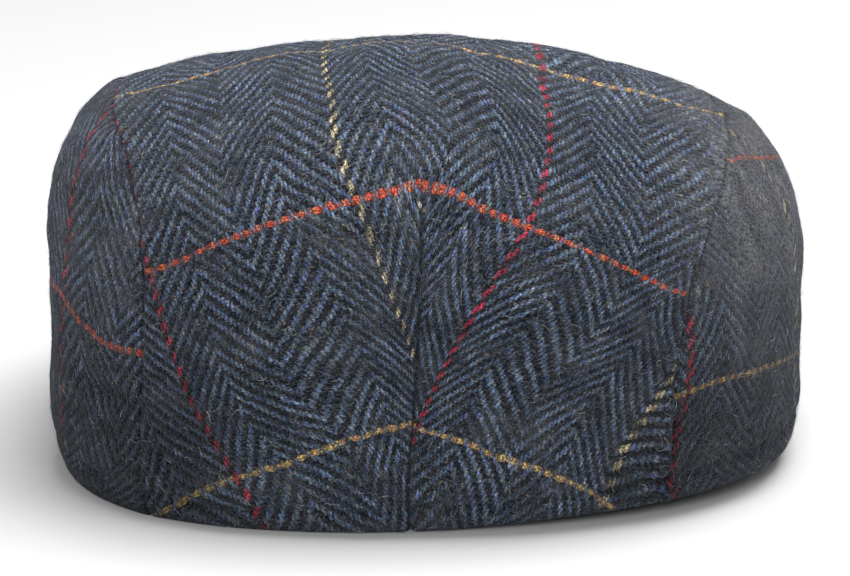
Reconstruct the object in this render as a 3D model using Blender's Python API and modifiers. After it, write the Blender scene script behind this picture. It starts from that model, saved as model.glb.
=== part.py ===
"""Flat cap of tweed cloth: a top panel with a centre back dart, two side panels and a peak.

Lengths are in metres. +Z is up, +Y is the back of the cap and +X is its left side.
The crown is drawn on a round chart: the angle runs round the crest from the centre back,
positive towards the left, and the share runs from 0 at the crest to 1 at the hem.
"""

import math

import bmesh
import bpy
import numpy as np

# Crown
HALF_WIDTH = 0.104
BACK_REACH = 0.072
FRONT_REACH = 0.155
HEIGHT = 0.115
HEM_TUCK = 0.009
CLOTH_THICKNESS = 0.002
SEAM_GAP = 0.0006

# Settling of the soft crown: the left shoulder stands up, the hem lifts off at the sides
SHOULDER_LEAN = 0.0038
HEM_LIFT = 0.0074
HEM_TRIM = 0.0015

# Peak
PEAK_LENGTH = 0.056
PEAK_OVERHANG = 0.014
PEAK_THICKNESS = 0.0045
PEAK_RISE = 0.014
PEAK_EDGE_ROUNDING = 0.0020
PEAK_CLEARANCE = 0.0006
PEAK_END_ANGLE = 130.0
PEAK_DROOP_SHARE = 0.5
PEAK_TIP_SHARE = 0.45
PEAK_TIP_POWER = 10
PEAK_CLOSE_SHARE = 0.25

# Dart at the centre back
DART_DEPTH = 0.0010
DART_HALF_WIDTH = 0.0030
DART_TIP_SHARE = 0.41
DART_FADE_SHARE = 0.10

# Power with which the dents fade out towards the hem
EDGE_HOLD_POWER = 8

# Mesh cells
TOP_CELLS_ACROSS = 26
CELLS_PER_SEAM_ROW = 4
SIDE_CELLS_DOWN = 12
PEAK_CELLS_ROUND = 24
PEAK_CELLS_DEEP = 3
PEAK_SMOOTHING_LEVELS = 1
MERIDIAN_STEPS = 72

# Lift of the hem off the surface, highest on the right: share is of HEM_LIFT
LIFT_COLUMNS = ("angle", "share", "angle_spread")
LIFT_ROWS = (
    (-82, 1.00, 76),
    (95, 0.53, 30),
)

# The hem climbs onto the peak between this angle and the peak's end
CLIMB_START_ANGLE = 104.0

# Crown by angle from the centre back, the same on both sides but for the squareness.
# spread: reach as a share of the base oval; tuck: share of HEM_TUCK;
# hold: power that keeps the wall out before it tucks in;
# full: height of the widest point as a share of HEIGHT; square: how boxy the shoulder is
CROWN_COLUMNS = ("angle", "spread", "tuck", "hold", "full", "square_left", "square_right")
CROWN_ROWS = (
    (0, 1.000, 1.00, 5.0, 0.490, 2.3, 2.3),
    (30, 1.025, 1.00, 5.0, 0.470, 2.6, 2.6),
    (60, 1.030, 0.56, 6.0, 0.435, 3.7, 3.3),
    (90, 1.000, 0.30, 6.0, 0.405, 4.6, 3.6),
    (120, 1.040, 0.35, 3.0, 0.345, 2.9, 2.5),
    (150, 1.030, 0.35, 2.0, 0.265, 1.6, 1.5),
    (180, 1.000, 0.35, 2.0, 0.200, 1.3, 1.3),
)
CROWN_ROW_ANGLE = 30.0

# Side seams from the hem at the back, over the shoulder, to the crown's front edge
SEAM_COLUMNS = ("angle", "share")
LEFT_SEAM_ROWS = (
    (57, 1.00),
    (55, 0.85),
    (54, 0.70),
    (55, 0.57),
    (65, 0.480),
    (79, 0.450),
    (94, 0.437),
    (109, 0.440),
    (123, 0.475),
    (133, 0.56),
    (140, 0.73),
    (145, 1.00),
)
RIGHT_SEAM_ROWS = (
    (-48.5, 1.00),
    (-47.5, 0.86),
    (-48.5, 0.74),
    (-53, 0.61),
    (-66, 0.505),
    (-80, 0.462),
    (-94, 0.440),
    (-109, 0.440),
    (-123, 0.475),
    (-133, 0.56),
    (-140, 0.73),
    (-145, 1.00),
)
SEAM_ROWS_UP = 3

# Soft dents and drape: depth is a share of HEIGHT, spreads are half widths
DENT_COLUMNS = ("angle", "share", "depth", "angle_spread", "share_spread")
DENT_ROWS = (
    (-62, 0.36, 0.012, 26, 0.10),
    (78, 0.72, 0.010, 16, 0.12),
    (-96, 0.78, 0.012, 20, 0.13),
    (158, 0.70, 0.018, 11, 0.18),
    (-160, 0.66, 0.016, 12, 0.18),
    (22, 0.88, 0.006, 14, 0.08),
)

TOP_COLOUR = (0.058, 0.065, 0.084, 1.0)
LEFT_COLOUR = (0.045, 0.050, 0.066, 1.0)
RIGHT_COLOUR = (0.052, 0.055, 0.068, 1.0)
PEAK_COLOUR = (0.050, 0.056, 0.073, 1.0)
CLOTH_ROUGHNESS = 0.95

# The crest stands behind the middle, so that the cap's box is centred on the origin
FRONT_TUCK = HEM_TUCK * CROWN_ROWS[-1][CROWN_COLUMNS.index("tuck")]
PEAK_FRONT_REACH = FRONT_REACH - FRONT_TUCK + PEAK_OVERHANG
PEAK_ROOT_REACH = PEAK_FRONT_REACH - PEAK_LENGTH
CREST_Y = (PEAK_FRONT_REACH - BACK_REACH) / 2


def clear_scene():
    """Remove what the start file holds."""
    for scene_object in list(bpy.data.objects):
        bpy.data.objects.remove(scene_object, do_unlink=True)


def smooth_step(value):
    """Ease from 0 to 1 as the value runs from 0 to 1."""
    held = np.clip(value, 0.0, 1.0)
    return held * held * (3.0 - 2.0 * held)


def bell(distance, spread):
    """A soft bump that is 1 in its middle and fades over its spread."""
    return math.exp(-((distance / spread) ** 2))


def curve_through(rows, position):
    """Point on a smooth curve through the rows, at a position counted in rows."""
    count = len(rows)
    first = min(int(position), count - 2)
    step = position - first
    before = rows[first - 1] if first > 0 else 2 * rows[0] - rows[1]
    after = rows[first + 2] if first + 2 < count else 2 * rows[-1] - rows[-2]
    start, end = rows[first], rows[first + 1]
    bend = 2 * before - 5 * start + 4 * end - after
    twist = 3 * start - before - 3 * end + after
    return start + step * ((end - before) + step * (bend + step * twist)) / 2


def signed_angle(angle):
    """The same angle between -180 and 180 degrees."""
    return (angle + 180.0) % 360.0 - 180.0


def crown_section(angle):
    """The crown table's row at an angle, as a dictionary by column."""
    rows = np.array(CROWN_ROWS)
    mirrored = np.vstack([rows[1], rows, rows[-2]])
    position = 1.0 + abs(signed_angle(angle)) / CROWN_ROW_ANGLE
    section = curve_through(mirrored, min(position, len(rows) - 1e-6))
    return dict(zip(CROWN_COLUMNS, section))


def base_reach(angle):
    """Reach of the base oval from the crest."""
    turn = math.radians(angle)
    length = BACK_REACH if math.cos(turn) > 0 else FRONT_REACH
    return 1.0 / math.hypot(math.sin(turn) / HALF_WIDTH, math.cos(turn) / length)


def peak_arch(angle):
    """How far the peak arches up at an angle, from 0 at its ends to 1 in the middle."""
    end = math.radians(PEAK_END_ANGLE)
    return max(0.0, 1.0 - (math.sin(math.radians(angle)) / math.sin(end)) ** 2)


def crown_edge_reach(angle):
    """Reach of the crown's lower edge."""
    section = crown_section(angle)
    return base_reach(angle) * section["spread"] - HEM_TUCK * section["tuck"]


def peak_edge_reach(angle):
    """Reach of the peak's outer edge, which closes on the root towards its ends."""
    turn = (180.0 - abs(signed_angle(angle))) / (180.0 - PEAK_END_ANGLE)
    overhang = PEAK_OVERHANG * math.sqrt(max(0.0, 1.0 - turn**2))
    closing = PEAK_TIP_SHARE + (1.0 - PEAK_TIP_SHARE) * math.sqrt(max(0.0, 1.0 - turn**PEAK_TIP_POWER))
    return PEAK_ROOT_REACH + (crown_edge_reach(angle) + overhang - PEAK_ROOT_REACH) * closing


def peak_underside(angle, reach):
    """Height of the peak's underside."""
    outwards = (reach - PEAK_ROOT_REACH) / (peak_edge_reach(angle) - PEAK_ROOT_REACH)
    return PEAK_RISE * peak_arch(angle) * (1.0 - PEAK_DROOP_SHARE * outwards)


def crown_edge_height(angle):
    """Height of the crown's lower edge: on the surface, or on the peak."""
    turn = signed_angle(angle)
    hem = -HEM_TRIM
    for row in LIFT_ROWS:
        lift = dict(zip(LIFT_COLUMNS, row))
        hem += HEM_LIFT * lift["share"] * bell(signed_angle(turn - lift["angle"]), lift["angle_spread"])
    climb = smooth_step((abs(turn) - CLIMB_START_ANGLE) / (PEAK_END_ANGLE - CLIMB_START_ANGLE))
    on_peak = peak_underside(angle, crown_edge_reach(angle)) + PEAK_THICKNESS + PEAK_CLEARANCE
    return hem + (on_peak - hem) * climb


def crown_meridian(angle):
    """Reach, height and running length down the crown at an angle."""
    section = crown_section(angle)
    left = signed_angle(angle) > 0
    square = section["square_left"] if left else section["square_right"]
    reach = base_reach(angle) * section["spread"]
    full = HEIGHT * section["full"]
    out = np.linspace(0.0, 1.0, MERIDIAN_STEPS)
    share = np.sin(out * math.pi / 2)
    dome = np.clip(1.0 - share**2, 0.0, 1.0) ** (1.0 / square)
    down = out[1:]
    edge = crown_edge_height(angle)
    tuck = HEM_TUCK * section["tuck"] * down ** section["hold"]
    reaches = np.concatenate([reach * share, reach - tuck])
    heights = np.concatenate([full + (HEIGHT - full) * dome, full + (edge - full) * down])
    steps = np.hypot(np.diff(reaches), np.diff(heights))
    return reaches, heights, np.concatenate([[0.0], np.cumsum(steps)])


def crown_point(chart):
    """Point on the crown's outer face for a point on the round chart."""
    share = math.hypot(chart[0], chart[1])
    angle = math.degrees(math.atan2(chart[0], chart[1]))
    reaches, heights, lengths = crown_meridian(angle)
    reach = np.interp(share * lengths[-1], lengths, reaches)
    height = np.interp(share * lengths[-1], lengths, heights)
    turn = math.radians(angle)
    point = np.array([reach * math.sin(turn), CREST_Y + reach * math.cos(turn), height])
    point[2] += SHOULDER_LEAN * point[0] / HALF_WIDTH * (height / HEIGHT) ** 2
    return push_in(point, dent_depth(angle, share) * (1.0 - share**EDGE_HOLD_POWER))


def push_in(point, depth):
    """Move a point towards the middle of the crown."""
    inwards = np.array([0.0, CREST_Y, point[2] / 2]) - point
    return point + inwards * depth / np.linalg.norm(inwards)


def dent_depth(angle, share):
    """Depth of the soft dents at a place on the chart."""
    depth = 0.0
    for row in DENT_ROWS:
        dent = dict(zip(DENT_COLUMNS, row))
        around = bell(signed_angle(angle - dent["angle"]), dent["angle_spread"])
        along = bell(share - dent["share"], dent["share_spread"])
        depth += HEIGHT * dent["depth"] * around * along
    return depth


def chart_place(angle, share):
    """Chart point for an angle and a share."""
    turn = math.radians(angle)
    return np.array([share * math.sin(turn), share * math.cos(turn)])


def seam_curve(rows):
    """Side seam as a function of a position from 0 at the back hem to 1 at the front."""
    places = np.array([chart_place(*row) for row in rows])
    return lambda position: curve_through(places, position * (len(rows) - 1))


def hem_curve(start_angle, end_angle):
    """Stretch of the crown's lower edge as a function of a position from 0 to 1."""
    return lambda position: chart_place(start_angle + (end_angle - start_angle) * position, 1.0)


def part_of(curve, start, end):
    """A stretch of a curve, as a curve of its own."""
    return lambda position: curve(start + (end - start) * position)


def patch_point(sides, across, along):
    """Point of a patch that is stretched between its four sides."""
    low, high, left, right = sides
    ruled = low(across) * (1 - along) + high(across) * along
    ruled = ruled + left(along) * (1 - across) + right(along) * across
    start = low(0.0) * (1 - across) + low(1.0) * across
    end = high(0.0) * (1 - across) + high(1.0) * across
    return ruled - start * (1 - along) - end * along


def draw_in(points, edges):
    """Pull the named edges of a grid of points in by half a seam gap."""
    drawn = points.copy()
    borders = {
        "low": (np.s_[:, 0], np.s_[:, 1]),
        "high": (np.s_[:, -1], np.s_[:, -2]),
        "left": (np.s_[0, :], np.s_[1, :]),
        "right": (np.s_[-1, :], np.s_[-2, :]),
    }
    for edge in edges:
        rim, inner = borders[edge]
        inwards = points[inner] - points[rim]
        lengths = np.linalg.norm(inwards, axis=-1, keepdims=True)
        drawn[rim] += inwards / lengths * SEAM_GAP / 2
    return drawn


def top_positions():
    """Positions across the top panel, closer together beside the dart."""
    beside = DART_HALF_WIDTH / (2 * HALF_WIDTH)
    even = np.linspace(0.0, 1.0, TOP_CELLS_ACROSS + 1)
    return np.sort(np.concatenate([even, [0.5 - beside, 0.5 + beside]]))


def top_points():
    """Points of the top panel, from its right to its left and from front to back."""
    left = seam_curve(LEFT_SEAM_ROWS)
    right = seam_curve(RIGHT_SEAM_ROWS)
    sides = (
        hem_curve(RIGHT_SEAM_ROWS[-1][0] + 360.0, LEFT_SEAM_ROWS[-1][0]),
        hem_curve(RIGHT_SEAM_ROWS[0][0], LEFT_SEAM_ROWS[0][0]),
        part_of(right, 1.0, 0.0),
        part_of(left, 1.0, 0.0),
    )
    across_positions = top_positions()
    along_positions = np.linspace(0.0, 1.0, CELLS_PER_SEAM_ROW * (len(LEFT_SEAM_ROWS) - 1) + 1)
    points = np.zeros((len(across_positions), len(along_positions), 3))
    for i, across in enumerate(across_positions):
        for j, along in enumerate(along_positions):
            chart = patch_point(sides, across, along)
            point = crown_point(chart)
            if math.isclose(across, 0.5) and along > 0.5:
                share = math.hypot(chart[0], chart[1])
                fade = smooth_step((share - DART_TIP_SHARE) / DART_FADE_SHARE)
                point = push_in(point, DART_DEPTH * fade)
            points[i, j] = point
    return draw_in(points, ("left", "right"))


def side_points(seam_rows):
    """Points of a side panel, from its front to its back and from hem to shoulder seam."""
    seam = seam_curve(seam_rows)
    count = len(seam_rows) - 1
    turn = SEAM_ROWS_UP / count
    sides = (
        hem_curve(seam_rows[-1][0], seam_rows[0][0]),
        part_of(seam, 1.0 - turn, turn),
        part_of(seam, 1.0, 1.0 - turn),
        part_of(seam, 0.0, turn),
    )
    across_positions = np.linspace(0.0, 1.0, CELLS_PER_SEAM_ROW * (count - 2 * SEAM_ROWS_UP) + 1)
    along_positions = np.linspace(0.0, 1.0, SIDE_CELLS_DOWN + 1)
    points = np.zeros((len(across_positions), len(along_positions), 3))
    for i, across in enumerate(across_positions):
        for j, along in enumerate(along_positions):
            points[i, j] = crown_point(patch_point(sides, across, along))
    return draw_in(points, ("left", "right", "high"))


def peak_reaches(angle):
    """Reaches across the peak at an angle, with a row close to each edge to hold it round."""
    edge = peak_edge_reach(angle)
    close = min(PEAK_EDGE_ROUNDING, PEAK_CLOSE_SHARE * (edge - PEAK_ROOT_REACH))
    inner = np.linspace(edge - close, PEAK_ROOT_REACH + close, PEAK_CELLS_DEEP + 1)
    return np.concatenate([[edge], inner, [PEAK_ROOT_REACH]])


def peak_points():
    """Points of the peak's underside, from its right end round to its left, edge to root."""
    angles = np.linspace(-PEAK_END_ANGLE, PEAK_END_ANGLE - 360.0, PEAK_CELLS_ROUND + 1)
    points = np.zeros((len(angles), len(peak_reaches(PEAK_END_ANGLE)), 3))
    for i, angle in enumerate(angles):
        reaches = peak_reaches(angle)
        turn = math.radians(angle)
        for j, reach in enumerate(reaches):
            place = (reach * math.sin(turn), CREST_Y + reach * math.cos(turn))
            points[i, j] = (*place, peak_underside(angle, reach))
    return points


def make_material(name, colour):
    """A plain cloth material."""
    material = bpy.data.materials.new(name)
    material.use_nodes = True
    shader = material.node_tree.nodes["Principled BSDF"]
    shader.inputs["Base Color"].default_value = colour
    shader.inputs["Roughness"].default_value = CLOTH_ROUGHNESS
    shader.inputs["Metallic"].default_value = 0.0
    return material


def make_sheet(name, points, colour, collection):
    """A grid of cloth laid over the points."""
    columns, rows = points.shape[0], points.shape[1]
    grid = bmesh.new()
    bmesh.ops.create_grid(grid, x_segments=columns - 1, y_segments=rows - 1, size=1.0)
    for vertex in grid.verts:
        i = round((vertex.co.x + 1.0) / 2.0 * (columns - 1))
        j = round((vertex.co.y + 1.0) / 2.0 * (rows - 1))
        vertex.co = points[i, j]
    mesh = bpy.data.meshes.new(name)
    grid.to_mesh(mesh)
    grid.free()
    mesh.shade_smooth()
    mesh.materials.append(make_material(name, colour))
    sheet = bpy.data.objects.new(name, mesh)
    collection.objects.link(sheet)
    return sheet


def add_thickness(sheet, thickness, offset):
    """Turn an open sheet into a closed shell."""
    shell = sheet.modifiers.new("Thickness", "SOLIDIFY")
    shell.thickness = thickness
    shell.offset = offset
    shell.use_even_offset = True
    shell.use_quality_normals = True


def cut_flat(sheet, cutter):
    """Cut a piece flat where it rests on the surface."""
    cut = sheet.modifiers.new("Resting edge", "BOOLEAN")
    cut.operation = "DIFFERENCE"
    cut.solver = "EXACT"
    cut.object = cutter


def make_floor_cutter(collection):
    """A block below the surface that the cap rests on."""
    bpy.ops.mesh.primitive_cube_add(size=1.0)
    cutter = bpy.context.object
    cutter.name = "floor_cutter"
    cutter.scale = (4 * HALF_WIDTH, 2 * (FRONT_REACH + PEAK_LENGTH), HEIGHT)
    cutter.location = (0.0, 0.0, -HEIGHT / 2)
    bpy.ops.object.transform_apply(location=True, rotation=False, scale=True)
    for holder in list(cutter.users_collection):
        holder.objects.unlink(cutter)
    collection.objects.link(cutter)
    cutter.hide_render = True
    cutter.display_type = "WIRE"
    return cutter


def new_collection(name):
    """A collection in the scene."""
    collection = bpy.data.collections.new(name)
    bpy.context.scene.collection.children.link(collection)
    return collection


def main():
    """Build the cap."""
    clear_scene()
    cap = new_collection("Flat cap")
    floor = make_floor_cutter(new_collection("Cutters"))
    panels = (
        make_sheet("crown_top", top_points(), TOP_COLOUR, cap),
        make_sheet("side_panel_left", side_points(LEFT_SEAM_ROWS), LEFT_COLOUR, cap),
        make_sheet("side_panel_right", side_points(RIGHT_SEAM_ROWS)[::-1], RIGHT_COLOUR, cap),
    )
    for panel in panels:
        add_thickness(panel, CLOTH_THICKNESS, -1.0)
        cut_flat(panel, floor)
    peak = make_sheet("peak", peak_points(), PEAK_COLOUR, cap)
    add_thickness(peak, PEAK_THICKNESS, 1.0)
    rounding = peak.modifiers.new("Edge rounding", "SUBSURF")
    rounding.levels = PEAK_SMOOTHING_LEVELS
    rounding.render_levels = PEAK_SMOOTHING_LEVELS


main()
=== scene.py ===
"""Looks of the flat cap: herringbone tweed with a windowpane check, sewn in panels, on a plain floor.

Lengths are in metres, and the cloth's own map is in millimetres. +Z is up, +Y is the back of the
cap and +X is its left side. The crown is drawn on a round chart: the angle runs round the crest
from the centre back, positive towards the left, and the share runs from 0 at the crest to 1 at
the hem.
"""

import logging
import math
from collections.abc import Callable, Sequence
from dataclasses import dataclass, field
from enum import Enum
from typing import Any

import bpy
import numpy as np
from mathutils import Matrix, Vector


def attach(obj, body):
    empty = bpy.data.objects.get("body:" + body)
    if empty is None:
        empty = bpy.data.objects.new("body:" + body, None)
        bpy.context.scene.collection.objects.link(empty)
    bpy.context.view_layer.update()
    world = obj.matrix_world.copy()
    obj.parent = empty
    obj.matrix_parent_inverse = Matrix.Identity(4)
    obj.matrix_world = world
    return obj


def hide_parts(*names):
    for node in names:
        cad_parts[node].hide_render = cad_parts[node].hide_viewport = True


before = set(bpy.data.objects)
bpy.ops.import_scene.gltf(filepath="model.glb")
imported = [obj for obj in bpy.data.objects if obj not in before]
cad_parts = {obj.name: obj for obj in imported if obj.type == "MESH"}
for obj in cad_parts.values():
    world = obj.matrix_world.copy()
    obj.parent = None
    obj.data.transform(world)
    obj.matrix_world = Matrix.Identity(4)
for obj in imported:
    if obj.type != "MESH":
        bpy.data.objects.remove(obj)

log = logging.getLogger("flat_cap")

MM = 0.001
BODY = "root"
CLOTH_MAP = "cloth_mm"
# Point attribute that holds the painted shade of the seams, folds, dart and hem groove
CREASE_SHADE = "painted_crease_shade"
FIBRE_TONE = "fibre_tone"

Colour = tuple[float, float, float]
Curve = Callable[[np.ndarray], np.ndarray]
Halves = list[tuple[int, np.ndarray]]
Rows = tuple[tuple[float, float], ...]


def curve_through(rows: np.ndarray, position: np.ndarray) -> np.ndarray:
    """Smooth curve through rows of values.

    Args:
        rows: Values, one row for each point that the curve passes through.
        position: Places on the curve, counted in rows from the first.

    Returns:
        The values at those places, the places first.
    """
    position = np.atleast_1d(np.asarray(position, dtype=float))
    count = len(rows)
    first = np.clip(position.astype(int), 0, count - 2)
    step = (position - first).reshape((-1,) + (1,) * (rows.ndim - 1))
    ends = np.concatenate([[2 * rows[0] - rows[1]], rows, [2 * rows[-1] - rows[-2]]])
    before, start, end, after = (ends[first + shift] for shift in range(4))
    bend = 2 * before - 5 * start + 4 * end - after
    twist = 3 * start - before - 3 * end + after
    return start + step * ((end - before) + step * (bend + step * twist)) / 2


def smooth_step(value: np.ndarray) -> np.ndarray:
    """Ease from 0 to 1 as the value runs from 0 to 1."""
    held = np.clip(value, 0.0, 1.0)
    return held * held * (3.0 - 2.0 * held)


def bell(distance: np.ndarray, spread: float) -> np.ndarray:
    """A soft bump that is 1 in its middle and fades over its spread."""
    return np.exp(-((distance / spread) ** 2))


def signed_angle(angle: np.ndarray) -> np.ndarray:
    """The same angle between -180 and 180 degrees."""
    return (angle + 180.0) % 360.0 - 180.0


def chart_place(angle: np.ndarray, share: np.ndarray) -> np.ndarray:
    """Chart point for an angle and a share."""
    turn = np.radians(angle)
    return np.stack([share * np.sin(turn), share * np.cos(turn)], axis=-1)


def chart_angle(chart: np.ndarray) -> np.ndarray:
    """Angle of chart points from the centre back, in degrees."""
    return np.degrees(np.arctan2(chart[..., 0], chart[..., 1]))


def chart_share(chart: np.ndarray) -> np.ndarray:
    """Share of chart points from the crest to the hem."""
    return np.hypot(chart[..., 0], chart[..., 1])


def unit(ways: np.ndarray) -> np.ndarray:
    """The same ways at a length of 1."""
    return ways / np.linalg.norm(ways, axis=-1, keepdims=True)


def crowded(cells: int, waves: int, pull: float) -> np.ndarray:
    """Positions from 0 to 1, drawn closer together where each wave starts and ends.

    Args:
        cells: Number of cells between the positions.
        waves: Half-waves of crowding over the whole run: 1 crowds one end, 2 both ends, and
            4 both ends and the middle.
        pull: How strongly the positions crowd, under 1; with one half-wave, a negative pull
            crowds the last end and a positive one the first.

    Returns:
        The positions, one more than the cells.
    """
    even = np.linspace(0.0, 1.0, cells + 1)
    return even - pull * np.sin(waves * math.pi * even) / (waves * math.pi)


@dataclass(frozen=True)
class CrownRow:
    """Shape of the crown at one angle from the centre back."""

    angle: float
    spread: float
    tuck: float
    hold: float
    full: float
    square_left: float
    square_right: float


@dataclass(frozen=True)
class Dent:
    """A soft hollow in the crown; its depth is a share of the crown's height."""

    angle: float
    share: float
    depth: float
    angle_spread: float
    share_spread: float


@dataclass(frozen=True)
class Fold(Dent):
    """A small fold in one panel: its depth is in metres, and shade is how dark its painted shade is.
    """

    shade: float


@dataclass(frozen=True)
class Lift:
    """A stretch of the hem that stands off the surface; its share is of the whole lift."""

    angle: float
    share: float
    angle_spread: float


CROWN_ROWS = (
    CrownRow(0, 1.000, 1.00, 5.0, 0.490, 2.3, 2.3),
    CrownRow(30, 1.025, 1.00, 5.0, 0.470, 2.6, 2.6),
    CrownRow(60, 1.030, 0.56, 6.0, 0.435, 3.7, 3.3),
    CrownRow(90, 1.000, 0.30, 6.0, 0.405, 4.6, 3.6),
    CrownRow(120, 1.040, 0.35, 3.0, 0.345, 2.9, 2.5),
    CrownRow(150, 1.030, 0.35, 2.0, 0.265, 1.6, 1.5),
    CrownRow(180, 1.000, 0.35, 2.0, 0.200, 1.3, 1.3),
)

LIFTS = (Lift(-82, 1.00, 76), Lift(95, 0.53, 30))

DENTS = (
    Dent(-62, 0.36, 0.012, 26, 0.10),
    Dent(78, 0.72, 0.010, 16, 0.12),
    Dent(-96, 0.78, 0.012, 20, 0.13),
    Dent(158, 0.70, 0.018, 11, 0.18),
    Dent(-160, 0.66, 0.016, 12, 0.18),
    Dent(22, 0.88, 0.006, 14, 0.08),
)

# Shallow settling of the cloth over the shoulders and crest, up to about 2 mm
SOFT_DENTS = (
    Dent(103, 0.455, -0.019, 14, 0.060),
    Dent(90, 0.610, 0.012, 13, 0.080),
    Dent(-99, 0.475, -0.015, 17, 0.080),
    Dent(130, 0.228, 0.016, 28, 0.080),
)

# Side seams from the hem at the back, over the shoulder, to the crown's front edge
LEFT_SEAM_ROWS = (
    (57, 1.00), (55, 0.85), (54, 0.70), (55, 0.57), (65, 0.480), (79, 0.450), (94, 0.437),
    (109, 0.440), (123, 0.475), (133, 0.56), (140, 0.73), (145, 1.00),
)
RIGHT_SEAM_ROWS = (
    (-48.5, 1.00), (-47.5, 0.86), (-48.5, 0.74), (-53, 0.61), (-66, 0.505), (-80, 0.462),
    (-94, 0.440), (-109, 0.440), (-123, 0.475), (-133, 0.56), (-140, 0.73), (-145, 1.00),
)


@dataclass(frozen=True)
class CrownForm:
    """The crown's outer face and the peak under it, as functions of the round chart."""

    half_width: float = 0.104
    back_reach: float = 0.072
    front_reach: float = 0.155
    height: float = 0.115
    hem_tuck: float = 0.009
    shoulder_lean: float = 0.0038
    hem_lift: float = 0.0074
    hem_trim: float = 0.0015
    climb_start_angle: float = 104.0
    peak_length: float = 0.056
    peak_overhang: float = 0.014
    peak_thickness: float = 0.0045
    peak_rise: float = 0.014
    peak_clearance: float = 0.0006
    peak_end_angle: float = 130.0
    peak_droop_share: float = 0.5
    peak_tip_share: float = 0.45
    peak_tip_power: float = 10.0
    edge_hold_power: float = 8.0
    row_angle: float = 30.0
    chart_angle_step: float = 1.0
    chart_share_steps: int = 300
    _tables: dict[str, np.ndarray] = field(default_factory=dict, compare=False)

    @property
    def front_tuck(self) -> float:
        """Tuck of the crown's edge at the centre front."""
        return self.hem_tuck * CROWN_ROWS[-1].tuck

    @property
    def peak_front_reach(self) -> float:
        """Reach of the peak's outer edge at the centre front."""
        return self.front_reach - self.front_tuck + self.peak_overhang

    @property
    def peak_root_reach(self) -> float:
        """Reach of the peak's inner edge, the same all round."""
        return self.peak_front_reach - self.peak_length

    @property
    def crest_y(self) -> float:
        """Place of the crest along Y, with the cap's box centred on the origin."""
        return (self.peak_front_reach - self.back_reach) / 2

    def section(self, angle: float) -> CrownRow:
        """The crown's shape at any angle."""
        rows = np.array([list(vars(row).values()) for row in CROWN_ROWS])
        mirrored = np.vstack([rows[1], rows, rows[-2]])
        position = 1.0 + abs(signed_angle(angle)) / self.row_angle
        return CrownRow(*curve_through(mirrored, min(position, len(rows) - 1e-6))[0])

    def base_reach(self, angle: float) -> float:
        """Reach of the base oval from the crest."""
        turn = math.radians(angle)
        length = self.back_reach if math.cos(turn) > 0 else self.front_reach
        return 1.0 / math.hypot(math.sin(turn) / self.half_width, math.cos(turn) / length)

    def edge_reach(self, angle: float) -> float:
        """Reach of the crown's lower edge."""
        section = self.section(angle)
        return self.base_reach(angle) * section.spread - self.hem_tuck * section.tuck

    def peak_arch(self, angle: float) -> float:
        """How far the peak arches up at an angle, from 0 at its ends to 1 in the middle."""
        end = math.radians(self.peak_end_angle)
        return max(0.0, 1.0 - (math.sin(math.radians(angle)) / math.sin(end)) ** 2)

    def peak_edge_reach(self, angle: float) -> float:
        """Reach of the peak's outer edge, which closes on the root towards its ends."""
        turn = (180.0 - abs(signed_angle(angle))) / (180.0 - self.peak_end_angle)
        turn = min(turn, 1.0)
        overhang = self.peak_overhang * math.sqrt(1.0 - turn**2)
        closing = (1.0 - self.peak_tip_share) * math.sqrt(1.0 - turn**self.peak_tip_power)
        full = self.edge_reach(angle) + overhang - self.peak_root_reach
        return self.peak_root_reach + full * (self.peak_tip_share + closing)

    def peak_underside(self, angle: float, reach: float) -> float:
        """Height of the peak's underside."""
        root = self.peak_root_reach
        outwards = (reach - root) / (self.peak_edge_reach(angle) - root)
        return self.peak_rise * self.peak_arch(angle) * (1.0 - self.peak_droop_share * outwards)

    def edge_height(self, angle: float) -> float:
        """Height of the crown's lower edge: on the surface, or on the peak."""
        turn = signed_angle(angle)
        hem = -self.hem_trim
        for lift in LIFTS:
            near = bell(signed_angle(turn - lift.angle), lift.angle_spread)
            hem += self.hem_lift * lift.share * near
        start = self.climb_start_angle
        climb = (abs(turn) - start) / (self.peak_end_angle - start)
        on_peak = self.peak_underside(angle, self.edge_reach(angle))
        on_peak += self.peak_thickness + self.peak_clearance
        return hem + (on_peak - hem) * smooth_step(climb)

    def meridian(self, angle: float) -> tuple[np.ndarray, np.ndarray, float]:
        """Curve down the crown at one angle.

        Args:
            angle: Angle from the centre back in degrees.

        Returns:
            Reach and height at even shares from the crest to the hem, and the whole length.
        """
        section = self.section(angle)
        square = section.square_left if signed_angle(angle) > 0 else section.square_right
        reach = self.base_reach(angle) * section.spread
        full = self.height * section.full
        out = np.linspace(0.0, 1.0, self.chart_share_steps)
        share = np.sin(out * math.pi / 2)
        dome = np.clip(1.0 - share**2, 0.0, 1.0) ** (1.0 / square)
        down = out[1:]
        tuck = self.hem_tuck * section.tuck * down**section.hold
        reaches = np.concatenate([reach * share, reach - tuck])
        drop = (self.edge_height(angle) - full) * down
        heights = np.concatenate([full + (self.height - full) * dome, full + drop])
        steps = np.hypot(np.diff(reaches), np.diff(heights))
        lengths = np.concatenate([[0.0], np.cumsum(steps)])
        even = np.linspace(0.0, lengths[-1], self.chart_share_steps + 1)
        even_reaches = np.interp(even, lengths, reaches)
        return even_reaches, np.interp(even, lengths, heights), float(lengths[-1])

    def tables(self) -> dict[str, np.ndarray]:
        """Reach and height by angle and share, and length by angle, worked out once."""
        if not self._tables:
            angles = np.arange(-180.0, 180.0 + self.chart_angle_step, self.chart_angle_step)
            curves = [self.meridian(float(angle)) for angle in angles]
            self._tables["reach"] = np.array([curve[0] for curve in curves])
            self._tables["height"] = np.array([curve[1] for curve in curves])
            self._tables["length"] = np.array([curve[2] for curve in curves])
        return self._tables

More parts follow.
